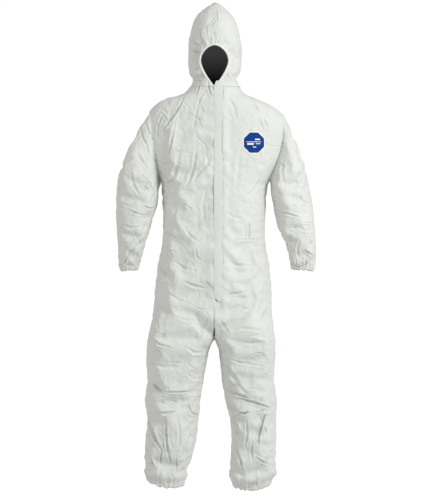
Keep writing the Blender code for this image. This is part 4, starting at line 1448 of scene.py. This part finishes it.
def flap_point(across, z):
    """A point on the flap's middle layer. across runs from the free edge (0) to the sewn edge (1)."""
    end = max(0.0, 1 - (z - flap_low.z) / FLAP_ROUND)
    width = (flap_high.x - flap_low.x) * (0.14 + 0.86 * math.sqrt(1 - end * end))
    width -= FLAP_CORNER[0] * max(0.0, 1 - (flap_high.z - z) / FLAP_CORNER[1])
    x = flap_high.x - width * (1 - across)
    free = 1 - across
    wave = 0.0011 * free * noise.noise((z * 11, 3.0, 0.0)) + 0.0006 * noise.noise((z * 34, across, 6.0))
    side = 0.0009 * free * noise.noise((z * 9, 8.0, 1.0))
    y = front_line(z) - 0.0051 + 0.0030 * end + wave - 0.0009 * math.sin(PI * across)
    return Vector((x + side, y, z))


flap = sheet_object(
    "storm_flap_cloth",
    FLAP_COLUMNS,
    FLAP_ROWS,
    lambda i, j: flap_point(i / FLAP_COLUMNS, flap_low.z + (flap_high.z - flap_low.z) * j / FLAP_ROWS),
)
thick = flap.modifiers.new("thick", "SOLIDIFY")
thick.thickness = 0.0008
thick.offset = 0
soft = flap.modifiers.new("soft", "BEVEL")
soft.width = 0.0003
soft.segments = 2
bake_modifiers(flap)
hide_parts("storm_flap")
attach(flap, "storm_flap")

# %% Flap strip and stitches
strip_low, strip_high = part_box("storm_flap_seam")
strip_x = (strip_low.x + strip_high.x) / 2
strip_line = []
for z in np.linspace(strip_low.z, strip_high.z, 300):
    strip_line.append((Vector((strip_x, front_line(z) - 0.0038, z)), Vector((0, -1, 0))))
strip = seam_object("storm_flap_ridge", [strip_line], 0.0007)
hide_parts("storm_flap_seam")
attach(strip, "root")
THREAD_PITCH = 0.0032
THREAD_SIZE = Matrix.Diagonal((0.0005, 0.0004, THREAD_PITCH * 0.62, 1))


def stitches(name, across):
    """A row of thread stitches down the flap, at a share of its width from the free edge."""
    low, high = flap_low.z + 0.035, flap_high.z - 0.004
    shape = bmesh.new()
    for step in range(int((high - low) / THREAD_PITCH)):
        z = low + (step + 0.5) * THREAD_PITCH
        place = Matrix.Translation(flap_point(across, z) + Vector((0, -0.0005, 0)))
        bmesh.ops.create_cube(shape, size=1.0, matrix=place @ THREAD_SIZE)
    made = new_object(name, shape)
    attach(made, "storm_flap")
    return made


STITCH_ROWS = {"flap_stitch_outer": 0.95, "flap_stitch_inner": 0.88, "flap_stitch_edge": 0.10}
STITCHES = [stitches(name, across) for name, across in STITCH_ROWS.items()]
print("flap:", len(flap.data.polygons), "faces")

# %% [markdown]
# ## Crotch gusset, waist elastic and labels
# A small gusset closes the body between the legs. A band of elastic is stitched inside the back at the
# waist, a blank size label hangs inside the neck, and an octagonal label is stuck to the chest. Its
# marks are plain bars. These are small and lie close to the body, so they need no drape: each is a sheet
# whose points a short function puts in place.

# %% Gusset, waist elastic and size tag
GUSSET_COLUMNS, GUSSET_ROWS = 6, 24
GUSSET_TURN = math.radians(48)  # half of how far it reaches round the crotch


def gusset_point(i, j):
    """The gusset follows the crotch seam from front to back, and its edges turn down onto the legs."""
    turn = GUSSET_TURN * (2 * j / GUSSET_ROWS - 1)
    across = (2 * i / GUSSET_COLUMNS - 1) * math.cos(turn * 1.6)
    ring = body_at(CROTCH_Z)
    middle, deep = (ring[2] + ring[3]) / 2, (ring[3] - ring[2]) / 2
    z = CROTCH_Z + (HIP_Z - CROTCH_Z) * (1 - math.cos(turn)) - 0.0015 - 0.008 * across * across
    return Vector((0.003 + across * 0.007, middle + deep * math.sin(turn), z))


gusset = sheet_object("gusset_cloth", GUSSET_COLUMNS, GUSSET_ROWS, gusset_point)
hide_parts("crotch_gusset")
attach(gusset, "root")
WAIST_COLUMNS, WAIST_ROWS = 160, 4
WAIST_Z, WAIST_TALL = -0.568, 0.012


def waist_point(i, j):
    """The band runs round the inside of the back, with small waves where the fabric is gathered on it."""
    turn = math.radians(98 + 164 * i / WAIST_COLUMNS)
    z = WAIST_Z + WAIST_TALL * j / WAIST_ROWS
    x, y = on_ring(body_at(z), turn, 0.0075 + 0.0012 * math.sin(70 * turn))
    return Vector((x, y, z))


waist = sheet_object("waist_band", WAIST_COLUMNS, WAIST_ROWS, waist_point)
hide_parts("waist_elastic")
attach(waist, "root")
tag_low, tag_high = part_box("size_label")
TAG_COLUMNS, TAG_ROWS = 12, 16


def tag_point(i, j):
    """The tag hangs from its upper edge and curls a little."""
    x = tag_low.x + (tag_high.x - tag_low.x) * i / TAG_COLUMNS
    z = tag_low.z + (tag_high.z - tag_low.z) * j / TAG_ROWS
    down = 1 - j / TAG_ROWS
    curl = 0.002 * down * down + 0.0008 * math.sin(3.1 * i / TAG_COLUMNS + 2 * down)
    return Vector((x, (tag_low.y + tag_high.y) / 2 + curl, z))


tag = sheet_object("size_tag", TAG_COLUMNS, TAG_ROWS, tag_point)
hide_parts("size_label")
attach(tag, "root")
print("gusset, waist band and size tag made")

# %% Chest label
LABEL = Vector((0.1454, 0, -0.219))
OCTAGON_RINGS, OCTAGON_STEPS = 14, 96
# Centre x and y, width and height of each bar on the label, in millimetres from its middle
MARKS = [(13, 12, 18, 5), (-1, 3, 54, 2), (-13, -5, 24, 6), (15, -4, 16, 2.5), (2, -16, 12, 3)]


def chest_y(x, z):
    """y of the folded front under a point of the label, evened out over a few centimetres."""
    found = []
    for dx, dz in ((0, 0), (0.012, 0), (-0.012, 0), (0, 0.012), (0, -0.012)):
        hit = BODY_TREE.ray_cast(Vector((x + dx, -0.3, z + dz)), Vector((0, 1, 0)))[0]
        if hit:
            found.append(hit.y)
    return 0.4 * found[0] + 0.6 * sum(found) / len(found)


def on_chest(name, shape, out):
    """Lays a flat shape, drawn in x and y about the label's middle, on the chest."""
    for vert in shape.verts:
        x, z = LABEL.x + vert.co.x, LABEL.z + vert.co.y
        vert.co = Vector((x, chest_y(x, z) - out - vert.co.z, z))
    bmesh.ops.recalc_face_normals(shape, faces=shape.faces[:])
    if sum(face.normal.y for face in shape.faces) > 0:
        bmesh.ops.reverse_faces(shape, faces=shape.faces[:])
    made = smooth_object(name, shape)
    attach(made, "root")
    return made


def octagon(wide):
    """A finely divided octagon, so that it can follow the folds under it."""
    shape = bmesh.new()
    radius = wide / 2 / math.cos(PI / 8)

    def place(i, j):
        turn = 2 * PI * i / OCTAGON_STEPS
        local = (turn + PI / 8) % (PI / 4) - PI / 8
        edge = radius * math.cos(PI / 8) / math.cos(local)
        share = j / OCTAGON_RINGS
        return Vector((edge * share * math.sin(turn), edge * share * math.cos(turn), 0))

    add_grid(shape, OCTAGON_STEPS, OCTAGON_RINGS, place)
    bmesh.ops.remove_doubles(shape, verts=shape.verts[:], dist=0.00005)
    return shape


def bars(marks):
    """Flat bars, each divided into faces of about two millimetres."""
    shape = bmesh.new()
    for x, y, wide, tall in marks:
        columns, rows = max(2, round(wide / 2)), max(2, round(tall / 2))

        def place(i, j):
            return Vector(((x + wide * (i / columns - 0.5)) / 1000, (y + tall * (j / rows - 0.5)) / 1000, 0))

        add_grid(shape, columns, rows, place)
    return shape


label_back = on_chest("label_sticker", octagon(0.081), 0.0010)
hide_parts("label_backing")
label_edge = on_chest("label_rim", octagon(0.0745), 0.0014)
label_face = on_chest("label_face", octagon(0.070), 0.0018)
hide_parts("label_print")
label_marks = on_chest("label_marks", bars(MARKS), 0.0022)
LABEL_PIECES = [label_back, label_edge, label_face, label_marks]
print("label pieces:", [piece.name for piece in LABEL_PIECES])

# %% [markdown]
# ## Riding on the frame
# Many small pieces follow a body of the mechanism. A panel that ended at each joint would open a gap there,
# so the fabric pieces run on over the joint. Here the CAD parts they stand for are hidden and the whole
# cloths removed.

# %% Rides
for name, piece in PANELS.items():
    hip_blend(piece, PANEL_SIDES[name])
    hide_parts(f"{name}_body", f"{name}_leg")
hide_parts("left_hip_fold")
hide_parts("right_hip_fold")
for side, sleeve in SLEEVES.items():
    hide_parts(f"{SIDES[side]}_sleeve", f"{SIDES[side]}_sleeve_head")
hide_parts("hood_left", "neck_fold")
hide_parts("hood_right")
bpy.data.objects.remove(body, do_unlink=True)
bpy.data.objects.remove(hood, do_unlink=True)
print("fabric pieces:", len(PANELS) + len(SLEEVES) + len(HOOD_PIECES))

# %% [markdown]
# ## Materials
# The fabric is felted from very fine plastic fibres: an off-white with a faint pebbled print of the rollers
# and cloudy fibre density. It is matt. An image of such a fabric would show its repeats on so large a piece,
# so all patterns here are worked out from the place on the object, and small bumps stand for the fibres.

# %% Material helpers
IN_SHADE = 0.955  # how much darker the fabric is where its fibres lie thinly


class Nodes:
    """Adds nodes to a new material and links them in a row."""

    def __init__(self, name):
        self.material = bpy.data.materials.new(name)
        self.material.use_nodes = True
        self.tree = self.material.node_tree
        self.shader = self.tree.nodes["Principled BSDF"]

    def add(self, kind, inputs=None, **settings):
        node = self.tree.nodes.new(kind)
        for key, value in settings.items():
            setattr(node, key, value)
        for key, value in (inputs or {}).items():
            if isinstance(value, bpy.types.NodeSocket):
                self.tree.links.new(value, node.inputs[key])
            else:
                node.inputs[key].default_value = value
        return node

    def set(self, **values):
        """Sets or links the shader's inputs, and returns the material."""
        for key, value in values.items():
            socket = self.shader.inputs[key.replace("_", " ")]
            if isinstance(value, bpy.types.NodeSocket):
                self.tree.links.new(value, socket)
            else:
                socket.default_value = value
        return self.material

    def place(self, scale):
        """The place on the object, stretched."""
        where = self.add("ShaderNodeTexCoord")
        spread = self.add("ShaderNodeMapping", {"Vector": where.outputs["Object"], "Scale": scale})
        return spread.outputs["Vector"]

    def ramp_of(self, value, low, high, low_colour, high_colour):
        """A colour that goes from one to the other as a value rises from low to high."""
        node = self.add("ShaderNodeValToRGB", {"Fac": value})
        node.color_ramp.elements[0].position = low
        node.color_ramp.elements[1].position = high
        node.color_ramp.elements[0].color = low_colour
        node.color_ramp.elements[1].color = high_colour
        return node.outputs["Color"]


def fabric(name, base, rough=0.62, grain=0.25):
    """Felted fibres in a base colour. grain is the depth of the rollers' print."""
    made = Nodes(name)
    where = made.place((1, 1, 1))
    cloud = made.add("ShaderNodeTexNoise", {"Vector": where, "Scale": 7.0, "Detail": 4.0, "Roughness": 0.6})
    tall = made.place((1, 1, 0.35))
    fibre = made.add("ShaderNodeTexNoise", {"Vector": tall, "Scale": 420.0, "Detail": 3.0})
    pebble = made.add("ShaderNodeTexVoronoi", {"Vector": where, "Scale": 520.0, "Randomness": 0.35})
    low = tuple(c * IN_SHADE for c in base[:3]) + (1.0,)
    colour = made.ramp_of(cloud.outputs["Fac"], 0.35, 0.65, low, base)
    speck = made.ramp_of(fibre.outputs["Fac"], 0.35, 0.7, (0.94, 0.94, 0.94, 1), (1, 1, 1, 1))
    mixed = made.add("ShaderNodeMix", data_type="RGBA", blend_type="MULTIPLY")
    mixed.inputs["Factor"].default_value = 1.0
    made.tree.links.new(colour, mixed.inputs["A"])
    made.tree.links.new(speck, mixed.inputs["B"])
    print_bump = {"Height": pebble.outputs["Distance"], "Strength": grain, "Distance": 0.0002}
    fine = made.add("ShaderNodeBump", print_bump)
    finer = {"Vector": where, "Scale": 55.0, "Detail": 5.0, "Distortion": 0.8}
    crease = made.add("ShaderNodeTexNoise", finer)
    crease_bump = {"Height": crease.outputs["Fac"], "Strength": 0.35, "Distance": 0.0016}
    both = made.add("ShaderNodeBump", {**crease_bump, "Normal": fine.outputs["Normal"]})
    return made.set(Base_Color=mixed.outputs["Result"], Roughness=rough, Normal=both.outputs["Normal"])


def plain(name, colour, rough, **more):
    """One even colour."""
    return Nodes(name).set(Base_Color=colour, Roughness=rough, **more)


def painted_hood_shade():
    """Painted shade for the hood's inside: a near-black colour and a faint painted glow, darker downwards."""
    made = Nodes("hood_inside_painted_shade")
    height = made.add("ShaderNodeSeparateXYZ", {"Vector": made.place((1, 1, 1))})
    dark, less_dark = (0.002, 0.002, 0.002, 1), (0.036, 0.036, 0.037, 1)
    painted_glow = made.ramp_of(height.outputs["Z"], 0.02, 0.12, dark, less_dark)
    made.set(Base_Color=(0.02, 0.02, 0.02, 1), Roughness=0.9)
    return made.set(Emission_Color=painted_glow, Emission_Strength=1.0)


# %% Materials
FABRIC = fabric("suit_fabric", (0.700, 0.716, 0.680, 1))
HEM = fabric("hem_fabric", (0.83, 0.84, 0.82, 1))
# Painted shade, with a faint painted glow, for the inside of the hood.
HOOD_PAINTED_SHADE = painted_hood_shade()
BAND_WHITE = fabric("elastic", (0.80, 0.80, 0.77, 1), rough=0.75, grain=0.5)
THREAD = plain("thread", (0.80, 0.81, 0.79, 1), 0.55)
TAPE = fabric("zip_tape", (0.78, 0.79, 0.77, 1), rough=0.7, grain=0.5)
PLASTIC = plain("zip_plastic", (0.80, 0.81, 0.80, 1), 0.35)
PAPER = plain("label_white", (0.88, 0.89, 0.89, 1), 0.45)
BLUE = plain("label_blue", (0.0005, 0.042, 0.225, 1), 0.6, Specular_IOR_Level=0.1)
NAVY = plain("label_navy", (0.003, 0.012, 0.055, 1), 0.55, Specular_IOR_Level=0.25)


def dress(obj, *materials):
    obj.data.materials.clear()
    for made in materials:
        obj.data.materials.append(made)


for piece in [*PANELS.values(), *SLEEVES.values(), *SEAMS.values(), gusset, flap, strip]:
    dress(piece, FABRIC)
for piece in HOOD_PIECES.values():
    dress(piece, FABRIC, HOOD_PAINTED_SHADE)
    # The inner side of each hood piece gets the painted shade of the hood's inside.
    painted_shade_side = piece.modifiers.new("painted_shade_side", "SOLIDIFY")
    painted_shade_side.thickness = 0.0006
    painted_shade_side.offset = -1
    painted_shade_side.material_offset = 1
    painted_shade_side.material_offset_rim = 0
for hem, band in CUFFS.values():
    dress(hem, FABRIC)
    dress(band, BAND_WHITE)
dress(face_casing, HEM)
dress(face_band, BAND_WHITE)
dress(waist, BAND_WHITE)
dress(tag, PAPER)
for piece in STITCHES:
    dress(piece, THREAD)
for piece in COILS:
    dress(piece, PLASTIC)
for piece, made in zip(LABEL_PIECES, (PAPER, NAVY, BLUE, PAPER)):
    dress(piece, made)
for name in ("zip_tape_left", "zip_tape_right"):
    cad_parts[name].material_slots[0].material = TAPE
for name in ("zip_top_stop_left", "zip_top_stop_right", "zip_bottom_stop", "zip_slider", "zip_pull"):
    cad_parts[name].material_slots[0].material = PLASTIC
print("materials:", FABRIC.name, HEM.name, TAPE.name)

# %% [markdown]
# ## Sheets
# Each fabric piece is cut flat. The worn pieces' own areas are printed, in square metres.

# %% Sheets


def area_of(obj):
    graph = bpy.context.evaluated_depsgraph_get()
    mesh = obj.evaluated_get(graph).data
    return sum(face.area for face in mesh.polygons)


for name, piece in PANELS.items():
    place, side_name = name.split("_")
    on_it = [SEAMS[f"{side_name}_side_seam"], *CUFFS[f"{side_name}_ankle"]] if place == "front" else []
    if name == "front_left":
        on_it.append(SEAMS["centre_front_seam"])
    if name == "back_left":
        on_it.append(SEAMS["centre_back_seam"])
for side, piece in SLEEVES.items():
    on_it = [SEAMS[f"{SIDES[side]}_armhole_seam"], *CUFFS[f"{SIDES[side]}_wrist"]]
for name, piece in HOOD_PIECES.items():
    on_it = [SEAMS["hood_seam"], SEAMS["neck_seam"], face_casing, face_band] if "left" in name else []
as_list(LABEL_PIECES[1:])
SHEETS = [*PANELS.values(), *SLEEVES.values(), *HOOD_PIECES.values(), gusset, flap, waist, tag, label_back]
for piece in SHEETS:
    print(f"{piece.name}: {area_of(piece):.4f} m2")

# %% [markdown]
# ## Camera, light and floor
# The suit stands upright in a white studio. A long lens from far away keeps its outline as flat as in a
# catalogue picture. One large soft light is on the wearer's left, a weaker one on the right, and the white
# room fills the rest.

# %% Camera
camera_data = bpy.data.cameras.new("camera")
camera_data.sensor_fit = "VERTICAL"
camera_data.sensor_height = 24
camera_data.sensor_width = 24
camera_data.lens = 209.6
camera = bpy.data.objects.new("camera", camera_data)
camera.location = (0.011, -16.0, -0.605)
camera.rotation_euler = (PI / 2, 0, 0)
bpy.context.scene.collection.objects.link(camera)
bpy.context.scene.camera = camera
print("camera at", tuple(camera.location))

# %% Room and lights
WHITE = (1, 1, 1, 1)
FLOOR_Z = -1.56
shape = bmesh.new()
bmesh.ops.create_grid(shape, x_segments=1, y_segments=1, size=5)
floor = new_object("floor", shape)
floor.location = (0, 0, FLOOR_Z)
floor.data.materials.append(
    plain("floor_white", (0.9, 0.9, 0.9, 1), 0.9, Emission_Color=WHITE, Emission_Strength=0.62)
)
shape = bmesh.new()
bmesh.ops.create_icosphere(shape, subdivisions=4, radius=40)
room = new_object("room_wall", shape)
room.data.materials.append(
    plain("room_white", (0, 0, 0, 1), 1.0, Emission_Color=WHITE, Emission_Strength=1.02)
)
floor.visible_diffuse = False
room.visible_diffuse = room.visible_glossy = room.visible_transmission = room.visible_shadow = False
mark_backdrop(floor, room)


def soft_light(name, place, aim, size, power, colour=(1, 1, 1)):
    """A rectangular light that faces a point."""
    data = bpy.data.lights.new(name, "AREA")
    data.color = colour
    data.shape = "RECTANGLE"
    data.size, data.size_y = size
    data.energy = power
    made = bpy.data.objects.new(name, data)
    made.location = place
    made.rotation_euler = (Vector(aim) - Vector(place)).to_track_quat("-Z", "Y").to_euler()
    bpy.context.scene.collection.objects.link(made)


soft_light("key", (3.2, -3.0, 1.3), (0, 0, -0.7), (1.4, 2.0), 138)
soft_light("fill", (-3.4, -2.4, 0.6), (0, 0, -0.6), (1.8, 2.2), 24, (1.0, 0.95, 0.88))
world = bpy.data.worlds.new("room")
bpy.context.scene.world = world
world.use_nodes = True
world.node_tree.nodes["Background"].inputs["Color"].default_value = WHITE
world.node_tree.nodes["Background"].inputs["Strength"].default_value = 0.59
bpy.context.scene.view_settings.view_transform = "Standard"

# %% Finish
low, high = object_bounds()
sizes = {"cad": [list(cad_low), list(cad_high)], "visual": [list(low), list(high)]}
print("CAD box", [round(v, 4) for v in (*cad_low, *cad_high)])
print("visual box", [round(v, 4) for v in (*low, *high)])
